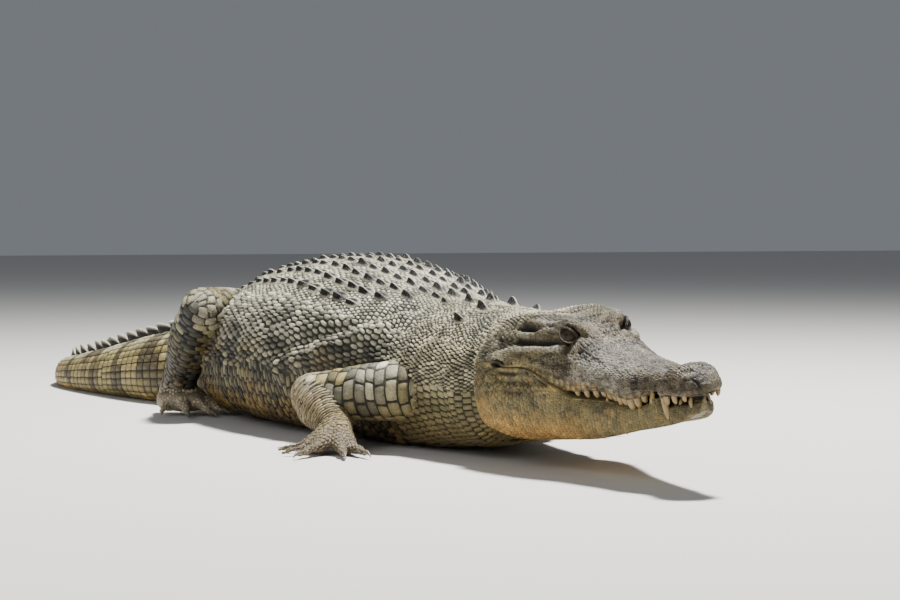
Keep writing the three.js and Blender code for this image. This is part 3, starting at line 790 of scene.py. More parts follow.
def body_sink(aft, share):
    """How deep the skin lies under the solid form: the depth of the scales, more under the back's shield."""
    shield = np.clip((0.36 - np.abs(share)) / 0.06, 0, 1) * np.clip((aft - 900) / 120, 0, 1)
    shield = shield * np.clip((2150 - aft) / 100, 0, 1)
    return np.minimum(BODY_SKIN + (SHIELD_SKIN - BODY_SKIN) * shield, body_width(aft) * 0.3)


def roll(aft, share, line, width):
    """How near a place on the body is to a fold that runs along (aft, share) points."""
    return along(aft / MM, share, [(a / MM, g) for a, g in line], width)


SHOULDER_ROLL = [(1320, 0.52), (1190, 0.47), (1090, 0.4), (975, 0.25)]
SHOULDER_DIP = [(1330, 0.46), (1250, 0.44), (1070, 0.33), (985, 0.2)]


def body_folds(aft, share):
    """Rolls of slack hide on the flank, at the shoulder and on the neck, in millimetres."""
    low = np.clip((np.abs(share) - 0.3) / 0.2, 0, 1) * np.clip((0.95 - np.abs(share)) / 0.1, 0, 1)
    g = np.abs(share)
    shoulder = roll(aft, g, SHOULDER_ROLL, 0.035) * 16 - roll(aft, g, SHOULDER_DIP, 0.022) * 12
    ribs = np.clip((g - 0.2) / 0.1, 0, 1) * np.clip((1500 - aft) / 150, 0, 1)
    flank = ribs * np.clip((aft - 940) / 60, 0, 1) * 3.5 * np.sin((aft + 900 * g) / 24 + np.sin(aft / 40))
    loin = np.exp(-(((aft - 1790) / 150) ** 2)) * 4 * np.sin((aft - 260 * g) / 26)
    throat = np.exp(-(((aft - 700) / 90) ** 2)) * 4 * np.sin((aft + 140 * g) / 17)
    return low * (flank + loin + throat) + shoulder


def body_spot(aft, share, rise=0):
    """A point of the trunk's, neck's or tail's skin in the resting pose, or rise millimetres above it."""
    aft, share = np.broadcast_arrays(np.asarray(aft, float), share)
    here = body_place(aft, share)
    ahead = body_place(aft + 3, share) - body_place(aft - 3, share)
    round_it = body_place(aft, share + 0.01) - body_place(aft, share - 0.01)
    normal = np.cross(ahead, round_it)
    normal /= np.linalg.norm(normal, axis=-1, keepdims=True) + 1e-12
    out = body_folds(aft, share) - body_sink(aft, share) + rise
    spot = here + normal * (out / MM)[..., None]
    spot[..., 2] = np.maximum(spot[..., 2], 0)
    return spot


def tube(rings):
    """Closed quads over an array of rings, each ring closed on itself, with a fan at either end."""
    count, around = rings.shape[:2]
    index = np.arange(count * around).reshape(count, around)
    beside = np.roll(index, -1, axis=1)
    sides = np.stack([index[:-1], index[1:], beside[1:], beside[:-1]], -1).reshape(-1, 4)
    points = np.vstack([rings.reshape(-1, 3), rings[0].mean(0), rings[-1].mean(0)])
    first = [(count * around, index[0, i], beside[0, i]) for i in range(around)]
    last = [(count * around + 1, beside[-1, i], index[-1, i]) for i in range(around)]
    return points, sides.tolist() + first + last


def gathered(shapes):
    """The points and faces of many closed shapes, as one mesh's."""
    points = []
    faces = []
    count = 0
    for some_points, some_faces in shapes:
        points.append(some_points)
        faces += [tuple(i + count for i in face) for face in some_faces]
        count += len(some_points)
    return np.vstack(points), faces


def make_object(name, points, faces):
    """A new mesh object in the scene."""
    mesh = bpy.data.meshes.new(name)
    mesh.from_pydata(np.asarray(points).tolist(), [], faces if isinstance(faces, list) else faces.tolist())
    made = bpy.data.objects.new(name, mesh)
    bpy.context.scene.collection.objects.link(made)
    return made


def face_out(made):
    """Turns a closed mesh right side out."""
    shell = bmesh.new()
    shell.from_mesh(made.data)
    bmesh.ops.recalc_face_normals(shell, faces=shell.faces)
    if shell.calc_volume(signed=True) < 0:
        bmesh.ops.reverse_faces(shell, faces=shell.faces)
    shell.to_mesh(made.data)
    shell.free()
    return made


def shade_smooth(made):
    """Lets light run smoothly over a mesh's faces."""
    made.data.polygons.foreach_set("use_smooth", np.ones(len(made.data.polygons), bool))


def applied(made):
    """The object with its modifiers worked into a plain mesh."""
    depsgraph = bpy.context.evaluated_depsgraph_get()
    mesh = bpy.data.meshes.new_from_object(made.evaluated_get(depsgraph))
    made.modifiers.clear()
    made.data = mesh
    return made


both_sides = np.concatenate([HEAD_ROUND, -HEAD_ROUND[-2:0:-1]])
head_rings = round_eye(head_spot(HEAD_AFT[:, None], both_sides[None]))
places = bend(*np.moveaxis(head_rings, -1, 0))
plain = head_ring(HEAD_AFT[:, None], both_sides[None])
tints = head_markings(places, *plain, both_sides[None] + 0 * places[..., 0])
# The inside of the mouth is painted nearly black: painted shade in the gap between the jaws.
mouth_painted_shade = smooth(np.abs(both_sides), 0.555, 0.57) * smooth(0.605 - np.abs(both_sides), 0, 0.015)
tints = blend(tints, NIGHT * 0.6, mouth_painted_shade[None] * smooth(560 - HEAD_AFT, 0, 30)[:, None])
skull = face_out(make_object("skull", *tube(places)))
# The middle of the front end takes the chin's tint.
tints = with_ends(tints)
tints[-2] = tints[: len(both_sides)][np.abs(both_sides) > JAW_SHARE].mean(0)
tint_object(skull, tints)
both_sides = np.concatenate([BODY_ROUND, -BODY_ROUND[-2:0:-1]])
places = body_spot(BODY_AFT[:, None], both_sides[None])
tints = body_markings(places, *np.broadcast_arrays(BODY_AFT[:, None], both_sides[None]))
trunk = face_out(make_object("trunk_skin", *tube(places)))
tint_object(trunk, with_ends(tints * GROOVE))
lids = []
for side in (-1, 1):
    ring = lid_ring(side)
    count, around = ring.shape[:2]
    index = np.arange(count * around).reshape(count, around)
    beside = np.roll(index, -1, axis=1)
    quads = np.stack([index, np.roll(index, -1, axis=0), np.roll(beside, -1, axis=0), beside], -1)
    places = bend(*np.moveaxis(ring.reshape(-1, 3), -1, 0))
    lids.append(face_out(make_object("lid", places, quads.reshape(-1, 4))))
    # Round the lid's section: the buried back is black, the rim pale below the eye and, as painted shade under
    # the overhanging upper lid, dark above it, and the fold brown.
    tints = np.tile(BARK * 0.3, (count, around, 1))
    tints[:, [0, 7, 8, 9, 10]] = NIGHT
    below = smooth(-np.sin(np.linspace(0, 2 * np.pi, count, endpoint=False)), -0.3, 0.3)
    tints[:, 1:3] = blend(BARK * 0.2, SILVER * 0.6, below)[:, None]
    tints[:, 4] = UMBER * 0.7
    tint_object(lids[-1], tints.reshape(-1, 3))

# A leg is a chain of bars of oval section with round ends, fused into one skin. A bar's sizes are
# (share of the length, half width, half depth). A leg's row gives its side, its two bars' sizes, the places
# of its shoulder or hip, elbow or knee, and wrist or ankle, and the tips of its toes.
LIMB_SKIN = 3
CAP_SHARE = 0.995
UPPER_ARM = ((0, 72, 66), (0.4, 66, 62), (0.8, 52, 52), (1, 47, 49))
FOREARM = ((0, 44, 48), (0.35, 50, 52), (0.8, 37, 36), (1, 36, 32))
THIGH = ((0, 100, 104), (0.5, 84, 88), (1, 56, 60))
SHANK = ((0, 54, 56), (0.3, 60, 60), (0.8, 43, 42), (1, 42, 40))
LEGS = {
    "right_arm": (-1, UPPER_ARM, FOREARM, (905, 150, 116), (1085, 300, 108), (948, 300, 46),
                  [(806, 300), (798, 350), (850, 424), (914, 436), (980, 418)]),
    "left_arm": (1, UPPER_ARM, FOREARM, (1005, 165, 112), (1205, 322, 104), (1120, 338, 46),
                 [(1000, 300), (978, 345), (998, 396), (1050, 428), (1110, 424)]),
    "right_leg": (-1, THIGH, SHANK, (1880, 130, 200), (1749, 304, 262), (2030, 282, 56),
                  [(1880, 206), (1834, 252), (1836, 312), (1892, 362)]),
    "left_leg": (1, THIGH, SHANK, (1880, 130, 200), (1765, 318, 240), (2025, 330, 56),
                 [(1880, 282), (1832, 330), (1840, 392), (1900, 440)]),
}


def bar_spot(bar, s, share, rise=0):
    """A point of a limb bar; s is millimetres along it, past its ends over the round caps."""
    start, end, sizes = bar
    s, share = np.broadcast_arrays(np.asarray(s, float), share)
    axis = (end - start) / np.linalg.norm(end - start)
    length = np.linalg.norm(end - start) * MM
    second = np.array([0, 0, 1]) - axis * axis[2]
    second /= np.linalg.norm(second)
    first = np.cross(axis, second)
    width = profile(*[(t * length, w) for t, w, d in sizes])(s) + rise
    depth = profile(*[(t * length, d) for t, w, d in sizes])(s) + rise
    past = np.maximum(np.maximum(-s, s - length), 0) / np.minimum(width, depth)
    small = np.sqrt(np.clip(1 - past**2, 0, 1))
    angle = share * np.pi
    ring = first * (np.sin(angle) * width * small)[..., None]
    ring = ring + second * (np.cos(angle) * depth * small)[..., None]
    return start + axis * (s / MM)[..., None] + ring / MM


def bar_mesh(bar, steps=12, around=20):
    """A closed mesh of one limb bar, with its round ends."""
    length = np.linalg.norm(bar[1] - bar[0]) * MM
    head = min(bar[2][0][1:])
    tail = min(bar[2][-1][1:])
    bow = np.sin(np.linspace(0, np.pi / 2, 5)[1:])
    s = np.concatenate([
        -head * bow[::-1] * CAP_SHARE, np.linspace(0, length, steps), length + tail * bow * CAP_SHARE
    ])
    share = np.linspace(-1, 1, around, endpoint=False)
    return tube(bar_spot(bar, s[:, None], share[None], -LIMB_SKIN))


def toe_bars(joint, tip, reach, toe, high):
    """The short bars of one digit, arching from its knuckle down to its tip."""
    knuckle = joint + (tip - joint) * reach
    knuckle[2] = high
    end = tip.copy()
    end[2] = toe * 0.62
    middle = knuckle + (tip - knuckle) * 0.45
    middle[2] = high * 0.55 + toe * 0.75
    t = np.array([0, 0.25, 0.5, 0.75, 1])[:, None]
    path = knuckle * (1 - t) ** 2 + middle * 2 * t * (1 - t) + end * t * t
    size = np.array([1, 0.88, 0.95, 0.85, 0.58]) * toe * MM
    return [
        (path[i], path[i + 1], ((0, size[i], size[i] * 0.88), (1, size[i + 1], size[i + 1] * 0.88)))
        for i in range(4)
    ]


# Of a hand and of a hind foot: half the wrist, how far along the toes the knuckles lie, half a toe, and the
# knuckles' height and half width.
HAND = (0.032, 0.52, 0.014, 0.017, 0.017)
FOOT = (0.042, 0.46, 0.017, 0.036, 0.034)
CLAWED_TOES = 3

limb_bars = {}
paw_bars = {}
claw_places = []
shells = []
for name, (side, upper, lower, top, bent, end, tips) in LEGS.items():
    a, b, c = (bend(p[0], side * p[1], p[2]) for p in (top, bent, end))
    tips = [bend(p[0], side * p[1], 0) for p in tips]
    front = "arm" in name
    wrist, reach, toe, high, ball = HAND if front else FOOT
    limb_bars[name] = [(a, b, upper), (b, c, lower)]
    bars = []
    for k, tip in enumerate(tips):
        size = toe * (1 if k < CLAWED_TOES else 0.8)
        knuckle = c + (tip - c) * reach
        knuckle[2] = high
        wide = ball * MM
        bars.append((c, knuckle, ((0, wrist * MM, wrist * MM * 0.9), (1, wide, wide * 0.9))))
        digit = toe_bars(c, tip, reach, size, high)
        bars += digit
        if k < CLAWED_TOES:
            claw_places.append((digit[-1][0], digit[-1][1], size))
    paw_bars[name] = bars
    for bar in limb_bars[name] + bars:
        shells.append(bar_mesh(bar))
limbs = face_out(make_object("limbs", *gathered(shells)))
# Bars and toes become one surface, eased where they meet.
fuse = limbs.modifiers.new("fuse", "REMESH")
fuse.mode = "VOXEL"
fuse.voxel_size = 0.0075
ease = limbs.modifiers.new("ease", "SMOOTH")
ease.factor = 0.5
ease.iterations = 4
applied(limbs)
places = np.array([v.co for v in limbs.data.vertices])
# On the paws the grooves keep more of the markings' lightness: less painted shade, as painted light on the
# feet.
paw = smooth(0.06 - places[:, 2], -0.01, 0.02)
tint_object(limbs, limb_markings(places) * (GROOVE + 0.4 * paw)[:, None])
# Skull, lids, trunk and limbs are joined into one skin without a seam.
for made in lids + [trunk, limbs]:
    join = skull.modifiers.new("join", "BOOLEAN")
    join.operation = "UNION"
    join.solver = "MANIFOLD"
    join.object = made
skin = applied(skull)
for made in lids + [trunk, limbs]:
    bpy.data.objects.remove(made)
skin.name = "skin"
FLOOR_CLEAR = 0.0012
points = np.empty(len(skin.data.vertices) * 3)
skin.data.vertices.foreach_get("co", points)
points = points.reshape(-1, 3)
points[:, 2] = np.maximum(points[:, 2], FLOOR_CLEAR)
skin.data.vertices.foreach_set("co", points.ravel())
tints = np.empty(len(points) * 4, np.float32)
skin.data.color_attributes["Tint"].data.foreach_get("color", tints)
tints = tints.reshape(-1, 4)
# Points that the joining made have no tint yet. They take the nearest one's, halved as painted shade in the
# crease.
bare = np.flatnonzero(tints[:, :3].min(1) > 0.95)
known = np.setdiff1d(np.arange(len(points)), bare)
near = KDTree(len(known))
for i, index in enumerate(known):
    near.insert(points[index], i)
near.balance()
for index in bare:
    tints[index] = tints[known[near.find(points[index])[1]]] * (0.5, 0.5, 0.5, 1)
skin.data.color_attributes["Tint"].data.foreach_set("color", tints.ravel())
skin_tree = BVHTree.FromObject(skin, bpy.context.evaluated_depsgraph_get())
shade_smooth(skin)
body_hide = hide_finish("body hide", 190, 120, 0.42, 0.5)
skin.data.materials.clear()
skin.data.materials.append(body_hide)
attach(skin, "root")
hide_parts(*[n for n in frame["nodes"] if not n.startswith("eye")])


# ---- Scales ----------------------------------------------------------------------------------------------
# The coat: thick horn plates that grow from the hide in rows, each a low cushion with its edges sunk in the
# groove round it. A scale is a small grid of faces over its cell of the hide, raised in the middle.


def scale_shape(along, round_it, corner=0.3, tilt=0.0, keel=0.0):
    """A scale's grid: (u across, v along, lift, ridge, painted shade) of each point, and its quads."""
    v, u = np.meshgrid(along, round_it, indexing="ij")
    edge = (np.abs(u) > 0.99) | (np.abs(v) > 0.99)
    x = u * (1 - corner * v**2 * 0.5)
    y = v * (1 - corner * u**2 * 0.5)
    lift = np.where(edge, -0.35, 1 - 0.3 * (u**2 + v**2) + tilt * v)
    ridge = np.where(edge, 0, np.clip(1 - np.abs(u) * 1.4, 0, 1) * np.clip(0.75 + 0.4 * v, 0, 1)) * keel
    # Painted shade: near black at the sunk edge, where the groove lies, and a little darker towards the rim.
    shade = np.where(edge, 0.05, 1 - 0.25 * np.maximum(np.abs(u), np.abs(v)))
    index = np.arange(u.size).reshape(u.shape)
    quads = np.stack([index[:-1, :-1], index[1:, :-1], index[1:, 1:], index[:-1, 1:]], -1).reshape(-1, 4)
    return [part.ravel() for part in (x, y, lift, ridge, shade)], quads


PLATE = scale_shape((-1, -0.8, 0, 0.8, 1), (-1, -0.85, 0, 0.85, 1), 0.12)
SLAB = scale_shape((-1, -0.86, 0, 0.86, 1), (-1, -0.88, -0.3, 0.3, 0.88, 1), 0.2, 0.25)
COBBLE = scale_shape((-1, -0.74, 0, 0.6, 1), (-1, -0.66, 0, 0.66, 1), 0.5, 0.3, 0.6)
RING = scale_shape((-1, -0.8, 0, 0.8, 1), (-1, -0.97, -0.4, 0.4, 0.97, 1), 0.03, 0.25)
PEBBLE = scale_shape((-1, -0.62, 0.62, 1), (-1, -0.62, 0.62, 1), 0.5)
PATCH = 0.0014
SCALE_CLEAR = 0.0004


def patch_of(shape):
    """Each point of a scale within its patch of the unwrap."""
    return np.stack(shape[0][:2], -1) * PATCH


def unwrapped(middle, span, shape):
    """Where each point of the scales lies on the unwrapped hide, of which span is the whole."""
    low, high = np.array(span).T
    roots = np.clip(0.02 + 0.96 * (middle - low) / (high - low), 0.01, 0.99)
    return roots[:, None] + patch_of(shape)


def mirrored(span, side):
    """A span of the right side, or the same one on the left."""
    return span if side > 0 else (-span[1], -span[0])


def lattice(aft_span, share_span, rows, columns, stagger=0.5, wobble=0.22, seed=1, climb=0.0, stops=None):
    """Corners of uneven cells laid in rows over a stretch of hide, as (cell, corner, (aft, share))."""
    i, j = (grid.ravel() for grid in np.meshgrid(np.arange(rows), np.arange(columns), indexing="ij"))
    shift = stagger * (i % 2)
    x = np.stack([i, i, i + 1, i + 1], -1).astype(float)
    y = np.stack([j, j + 1, j + 1, j], -1) + shift[:, None]
    place = np.stack([x, y, 0 * x], -1)
    x = x + (cloud(place, 1.7, seed) - 0.5) * 2 * wobble + (cloud(place, 7, seed + 1) - 0.5) * 3 * wobble
    y = y + (cloud(place, 1.7, seed + 2) - 0.5) * 2 * wobble
    share = share_span[0] + (share_span[1] - share_span[0]) * y / columns
    aft = aft_span[0] + (aft_span[1] - aft_span[0]) * (x / rows)
    if stops is not None:
        aft = np.interp(x, np.arange(len(stops)), stops)
    return np.stack([aft, share + climb * (aft - aft_span[0]) / (aft_span[1] - aft_span[0])], -1)


def scales_over(spot, cells, shape, height, inset=0.93, ridge=0.0, seed=1, loose=0.07):
    """Points, and each point's cell and shade, of one scale on each cell of a hide given by spot()."""
    (u, v, lift, keel, shade), quads = shape
    dice = np.random.default_rng(seed)
    count = len(cells)
    corners = spot(cells[..., 0], cells[..., 1])
    wide = np.linalg.norm(corners[:, 1] - corners[:, 0], axis=-1)[:, None] + 1e-6
    long = np.linalg.norm(corners[:, 3] - corners[:, 0], axis=-1)[:, None] + 1e-6
    gap = (1 - inset * dice.uniform(1 - loose, 1.04, (count, 1))) * np.minimum(wide, long)
    a = (u[None] * (1 - gap / wide) + 1) / 2
    b = (v[None] * (1 - gap / long) + 1) / 2
    c = [cells[:, k, None, :] for k in range(4)]
    at = (c[0] * (1 - a[..., None]) + c[1] * a[..., None]) * (1 - b[..., None])
    at = at + (c[3] * (1 - a[..., None]) + c[2] * a[..., None]) * b[..., None]
    tall = np.broadcast_to(height, (count,))[:, None] * dice.uniform(0.75, 1.25, (count, 1))
    rise = tall * lift[None] + np.broadcast_to(ridge, (count,))[:, None] * keel[None]
    points = spot(at[..., 0], at[..., 1], rise)
    points[..., 2] = np.maximum(points[..., 2], SCALE_CLEAR)
    return points, quads, np.broadcast_to(shade, (count, len(shade)))


def coat_piece(name, parts, material):
    """One object of many scales; a part is the points, quads, shades, tints and unwrap of some of them."""
    points = np.vstack([p.reshape(-1, 3) for p, q, s, t, r in parts])
    tints = np.vstack([(t[:, None] * s[..., None]).reshape(-1, 3) for p, q, s, t, r in parts])
    faces = []
    patches = []
    offset = 0
    for p, q, s, t, r in parts:
        every = q[None] + (np.arange(len(p)) * p.shape[1])[:, None, None] + offset
        faces.append(every.reshape(-1, 4))
        patches.append(r.reshape(-1, 2))
        offset += p.shape[0] * p.shape[1]
    faces = np.vstack(faces)
    mesh = bpy.data.meshes.new(name)
    mesh.vertices.add(len(points))
    mesh.vertices.foreach_set("co", points.ravel())
    mesh.loops.add(faces.size)
    mesh.loops.foreach_set("vertex_index", faces.ravel().astype(np.int32))
    mesh.polygons.add(len(faces))
    mesh.polygons.foreach_set("loop_start", np.arange(len(faces), dtype=np.int32) * 4)
    mesh.polygons.foreach_set("use_smooth", np.ones(len(faces), bool))
    unwrap = mesh.uv_layers.new(name="OFBake")
    unwrap.data.foreach_set("uv", np.vstack(patches)[faces.ravel()].ravel())
    mesh.update()
    made = bpy.data.objects.new(name, mesh)
    bpy.context.scene.collection.objects.link(made)
    tint_object(made, tints)
    made.data.materials.append(material)
    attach(made, "root")


def showing(places, depth=0.006):
    """Which places aren't buried in the skin, as under a leg."""
    kept = []
    for place in places:
        near, normal = skin_tree.find_nearest(place)[:2]
        kept.append((Vector(place) - near).dot(normal) > -depth)
    return np.array(kept)


def body_scales(cells, shape, height, span, ridge=0.0, inset=0.93, seed=1, vary=0.2, loose=0.07):
    """Scales on the trunk, neck or tail, with their tints and their places on the unwrapped body."""
    keep = showing(body_spot(cells[..., 0].mean(1), cells[..., 1].mean(1), 1))
    cells = cells[keep]
    height = np.broadcast_to(height, keep.shape)[keep]
    ridge = np.broadcast_to(ridge, keep.shape)[keep]
    points, quads, shades = scales_over(body_spot, cells, shape, height, inset, ridge, seed, loose)
    middle = cells.mean(1)
    places = points.mean(1)
    tints = body_markings(places, middle[:, 0], middle[:, 1])
    dice = np.random.default_rng(seed + 50)
    tints = tints * dice.uniform(1 - vary, 1 + vary, (len(cells), 1))
    return points, quads, shades, tints, unwrapped(middle, span, shape)


coat_hide = hide_finish("scale hide", 240, 210, 0.3, 0.42)

# The back's shield: scutes of bone under horn in rows across, each an oval plate with a steep keel along it.
# They are grown in the skin, clear of each other, and small pebbles of horn fill the skin between them.
SCUTE_LINES = (
    (-1, -0.8, -0.4, 0, 0.4, 0.75, 0.92, 1),
    (-1, -0.82, -0.5, -0.22, -0.09, 0, 0.09, 0.22, 0.5, 0.82, 1),
)
SHIELD_START = 985
SHIELD_END = 2140
SHIELD_PITCH = 58


def scute_shape():
    """An oval plate whose keel rises towards the tail, with painted shade on its steep sides and rim, and a
    pale crest.
    """
    (x, y, lift, ridge, shade), quads = scale_shape(*SCUTE_LINES, 0.5)
    v, u = (grid.ravel() for grid in np.meshgrid(*SCUTE_LINES, indexing="ij"))
    edge = (np.abs(u) > 0.99) | (np.abs(v) > 0.99)
    rise = np.interp(v, SCUTE_LINES[0], (0, 0.08, 0.42, 0.82, 1, 0.92, 0.4, 0))
    side = np.interp(np.abs(u), (0, 0.09, 0.22, 0.5, 0.82), (1, 0.94, 0.6, 0.12, 0))
    ridge = np.where(edge, 0, side * rise)
    # Painted shade: near black on the keel's steep sides and darker round the rim; the crest keeps the plate's
    # tint.
    steep = np.interp(np.abs(u), (0, 0.09, 0.22, 0.5, 0.82, 1), (1, 0.01, 0, 0.01, 1, 0.3))
    steep = np.where(np.abs(v) > 0.9, np.minimum(steep, 0.5), steep)
    steep = np.where(v < -0.6, np.maximum(steep, 0.5), steep)
    return [x * (1 - 0.22 * np.abs(v) ** 3), y, lift, ridge, steep], quads


SCUTE = scute_shape()
# How wide a column of scutes is, and how many columns stand on either side of the midline, along the back.
shield_wide = profile((985, 36), (1190, 43), (1400, 46), (1700, 44), (2140, 32))
shield_rows = profile((985, 2), (1045, 3), (1110, 4), (1200, 5), (1850, 5), (2140, 3))


def scute_cells(centres, long, wide):
    """Cells of the given half sizes, in millimetres, round (aft, distance from the midline) centres."""
    centres = np.asarray(centres, float)
    girth = np.interp(centres[:, 0], ring_aft, half_girth)
    corner = np.array([(-1, -1), (-1, 1), (1, 1), (1, -1)])
    aft = centres[:, None, 0] + corner[None, :, 0] * np.broadcast_to(long, len(centres))[:, None]
    out = centres[:, None, 1] + corner[None, :, 1] * np.broadcast_to(wide, len(centres))[:, None]
    return np.stack([aft, out / girth[:, None]], -1)


dice = np.random.default_rng(7)
centres = []
keels = []
for aft in np.arange(SHIELD_START, SHIELD_END, SHIELD_PITCH):
    for column in range(int(round(float(shield_rows(aft))))):
        for side in (-1, 1):
            shift = dice.uniform(-5, 5, 2)
            centres.append((aft + shift[0], side * (column + 0.5) * float(shield_wide(aft)) + shift[1] * 0.5))
            keels.append((8 + 1.2 * column - 0.35 * column**2) * dice.uniform(0.6, 1.2))
centres = np.array(centres)
keels = np.array(keels) * np.interp(centres[:, 0], (985, 1100, 1900, 2140), (1.25, 1.15, 0.95, 0.8))
cells = scute_cells(centres, 27, np.array([0.44 * float(shield_wide(a)) for a in centres[:, 0]]))
SHIELD_SPAN = ((600, 2160), (-0.45, 0.45))
parts = [body_scales(cells, SCUTE, 3.4, SHIELD_SPAN, keels, 1, 31, 0.12)]
# The cluster on the nape, the tallest of all: four in a square, one to either side and two small ones behind.
NAPE = [(872, 24), (872, -24), (778, 34), (778, -34), (782, 90), (782, -90), (930, 60), (930, -60)]
NAPE_LONG = np.array([27, 27, 30, 30, 24, 24, 18, 18])
NAPE_WIDE = np.array([19, 19, 22, 22, 17, 17, 12, 12])
NAPE_TALL = np.array([15, 15, 16, 16, 13, 13, 8, 8.0])
cells = scute_cells(NAPE, NAPE_LONG, NAPE_WIDE)
parts.append(body_scales(cells, SCUTE, 4, SHIELD_SPAN, NAPE_TALL, 1, 32, 0.1))
coat_piece("back_scutes", parts, coat_hide)

back = lattice((930, 2140), (-0.33, 0.33), 92, 46, 0.5, 0.4, 41)
nape = lattice((622, 935), (-0.31, 0.31), 34, 34, 0.5, 0.75, 43)
coat_piece("back_pebbles", [
    body_scales(back, PEBBLE, 1.8, SHIELD_SPAN, 0, 1, 42, 0.2, 0.2),
    body_scales(nape, PEBBLE, 3, SHIELD_SPAN, 0, 1, 44, 0.4, 0.45),
], coat_hide)

# Flanks: rows of keeled ovals of horn above, flat oblongs below, and broad slabs on the throat, all bedded in
# the skin. The neck's kinds and the body's meet along a wandering line at the shoulder.
FLANK_FROM = 950


def shoulder_line(share):
    g = np.abs(share)
    return FLANK_FROM + 30 * np.sin(17 * g) + 18 * np.sin(41 * g)


def behind(cells):
    """The cells behind the shoulder line."""
    return cells[cells[:, :, 0].mean(1) > shoulder_line(cells[:, :, 1].mean(1))]


def before(cells):
    """The cells before the shoulder line."""
    return cells[cells[:, :, 0].mean(1) < shoulder_line(cells[:, :, 1].mean(1))]


def between(cells, low, high):
    """Cells within a band of the girth whose edges wander a little."""
    middle = cells.mean(1)
    g = np.abs(middle[:, 1]) + 0.012 * np.sin(middle[:, 0] / 37)
    return cells[(g > low) & (g < high)]


for side, name in ((1, "right"), (-1, "left")):
    span = ((530, 2130), mirrored((0.28, 1), side))
    upper = lattice((890, 2118), mirrored((0.3, 0.6), side), 58, 15, 0.5, 0.42, 11)
    lower = lattice((890, 2118), mirrored((0.5, 0.85), side), 84, 10, 0.3, 0.26, 21)
    neck = lattice((622, 1010), mirrored((0.28, 0.6), side), 33, 19, 0.5, 0.62, 71)
    throat = lattice((622, 1010), mirrored((0.42, 0.86), side), 17, 16, 0.5, 0.16, 51, -0.12 * side)
    under_jaw = lattice((536, 625), mirrored((0.56, 1), side), 5, 15, 0.5, 0.1, 52)
    under_jaw[..., 1] = np.clip(under_jaw[..., 1], -1, 1)
    coat_piece("flank_scales_" + name, [
        body_scales(between(behind(upper), 0.312, 0.53), COBBLE, 3.8, span, 4.6, 0.96, 3, 0.44, 0.28),
        body_scales(between(behind(lower), 0.53, 0.83), PLATE, 3.4, span, 0, 0.86, 4, 0.45, 0.12),
        body_scales(between(before(neck), 0.3, 0.5), COBBLE, 3.4, span, 3, 0.97, 8, 0.4, 0.4),
        body_scales(between(before(throat), 0.5, 0.83), SLAB, 3, span, 0, 0.89, 5, 0.2),
        body_scales(under_jaw, SLAB, 2, span, 0, 0.89, 9, 0.2),
    ], coat_hide)

# Belly: rows of thin flat squares of horn, edge to edge in the skin, and pressed flat where they carry the
# weight.
for side, name in ((1, "right"), (-1, "left")):
    belly = lattice((640, 2118), mirrored((0.82, 1.0), side), 52, 6, 0, 0.08, 61)
    belly[..., 1] = np.clip(belly[..., 1], -1, 1)
    span = ((600, 2130), mirrored((0.8, 1), side))
    parts = [body_scales(belly, PLATE, 2.2, span, seed=6, vary=0.08)]
    coat_piece("belly_scales_" + name, parts, coat_hide)

# Tail: whole rings of oblong horn plates, two rings to each blade of the crest, with fewer plates to a ring
# where the tail is thin.
TAIL_START = 2112
TAIL_END = 3985
TAIL_SPAN = ((2100, 4000), (-1, 1))
TAIL_RINGS = ((TAIL_START, 2640, 32), (2640, 3260, 22), (3260, TAIL_END, 14))
CREST_START = 2160
CREST_MERGE = 2960
CREST_END = 3970
crest_height = profile((2160, 10), (2500, 18), (2960, 25), (3400, 26), (3800, 20), (3960, 11))
crest_pitch = profile((2160, 62), (2960, 58), (3500, 46), (3960, 34))
stops = [float(TAIL_START)]
while stops[-1] < TAIL_END:
    stops.append(stops[-1] + float(crest_pitch(stops[-1])) / 2)
stops = np.array(stops)
parts = []
for start, end, columns in TAIL_RINGS:
    some = stops[(stops >= start - 1) & (stops < end + 30)]
    cells = lattice((start, end), (-1, 1), len(some) - 1, columns, 0, 0.1, 71, stops=some)
    height = np.interp(cells[:, 0, 0], (TAIL_START, TAIL_END), (3, 1))
    parts.append(body_scales(cells, PLATE, height, TAIL_SPAN, inset=0.96, seed=8))
coat_piece("tail_scales", parts, coat_hide)

# The crest: stiff blades of horn that grow from the tail's top edge and lean back, in two rows that
# become one near the middle of the tail.
BLADE_LEVELS = np.array([0, 0.3, 0.62, 0.86, 1])
BLADE_STEPS = np.array([-0.5, -0.42, -0.25, -0.05, 0.15, 0.32, 0.44, 0.5])
BLADE_FOOT = 12


def blade(aft, out, length, height):
    """Rings of points along one crest scute: up its right side and down its left."""
    thick = height * 0.18 + 4
    level = np.concatenate([BLADE_LEVELS, BLADE_LEVELS[-2::-1]])
    sign = np.array([-1] * 4 + [0] + [1] * 4)
    t = BLADE_STEPS[:, None]
    tall = height * np.interp(t, (-0.5, -0.3, 0.1, 0.36, 0.5), (0.08, 0.45, 0.86, 1, 0.8))
    a = aft + length * t + level[None] * (height * 0.95 + length * 0.1 * (t + 0.5))
    side = sign[None] * thick * (1 - 0.8 * level[None]) * np.sqrt(np.clip(1.1 - (2 * t) ** 2, 0.05, 1))
    up = body_top(aft + length * t) - BLADE_FOOT + (BLADE_FOOT + tall) * level[None]
    return bend(a, out + side, up)


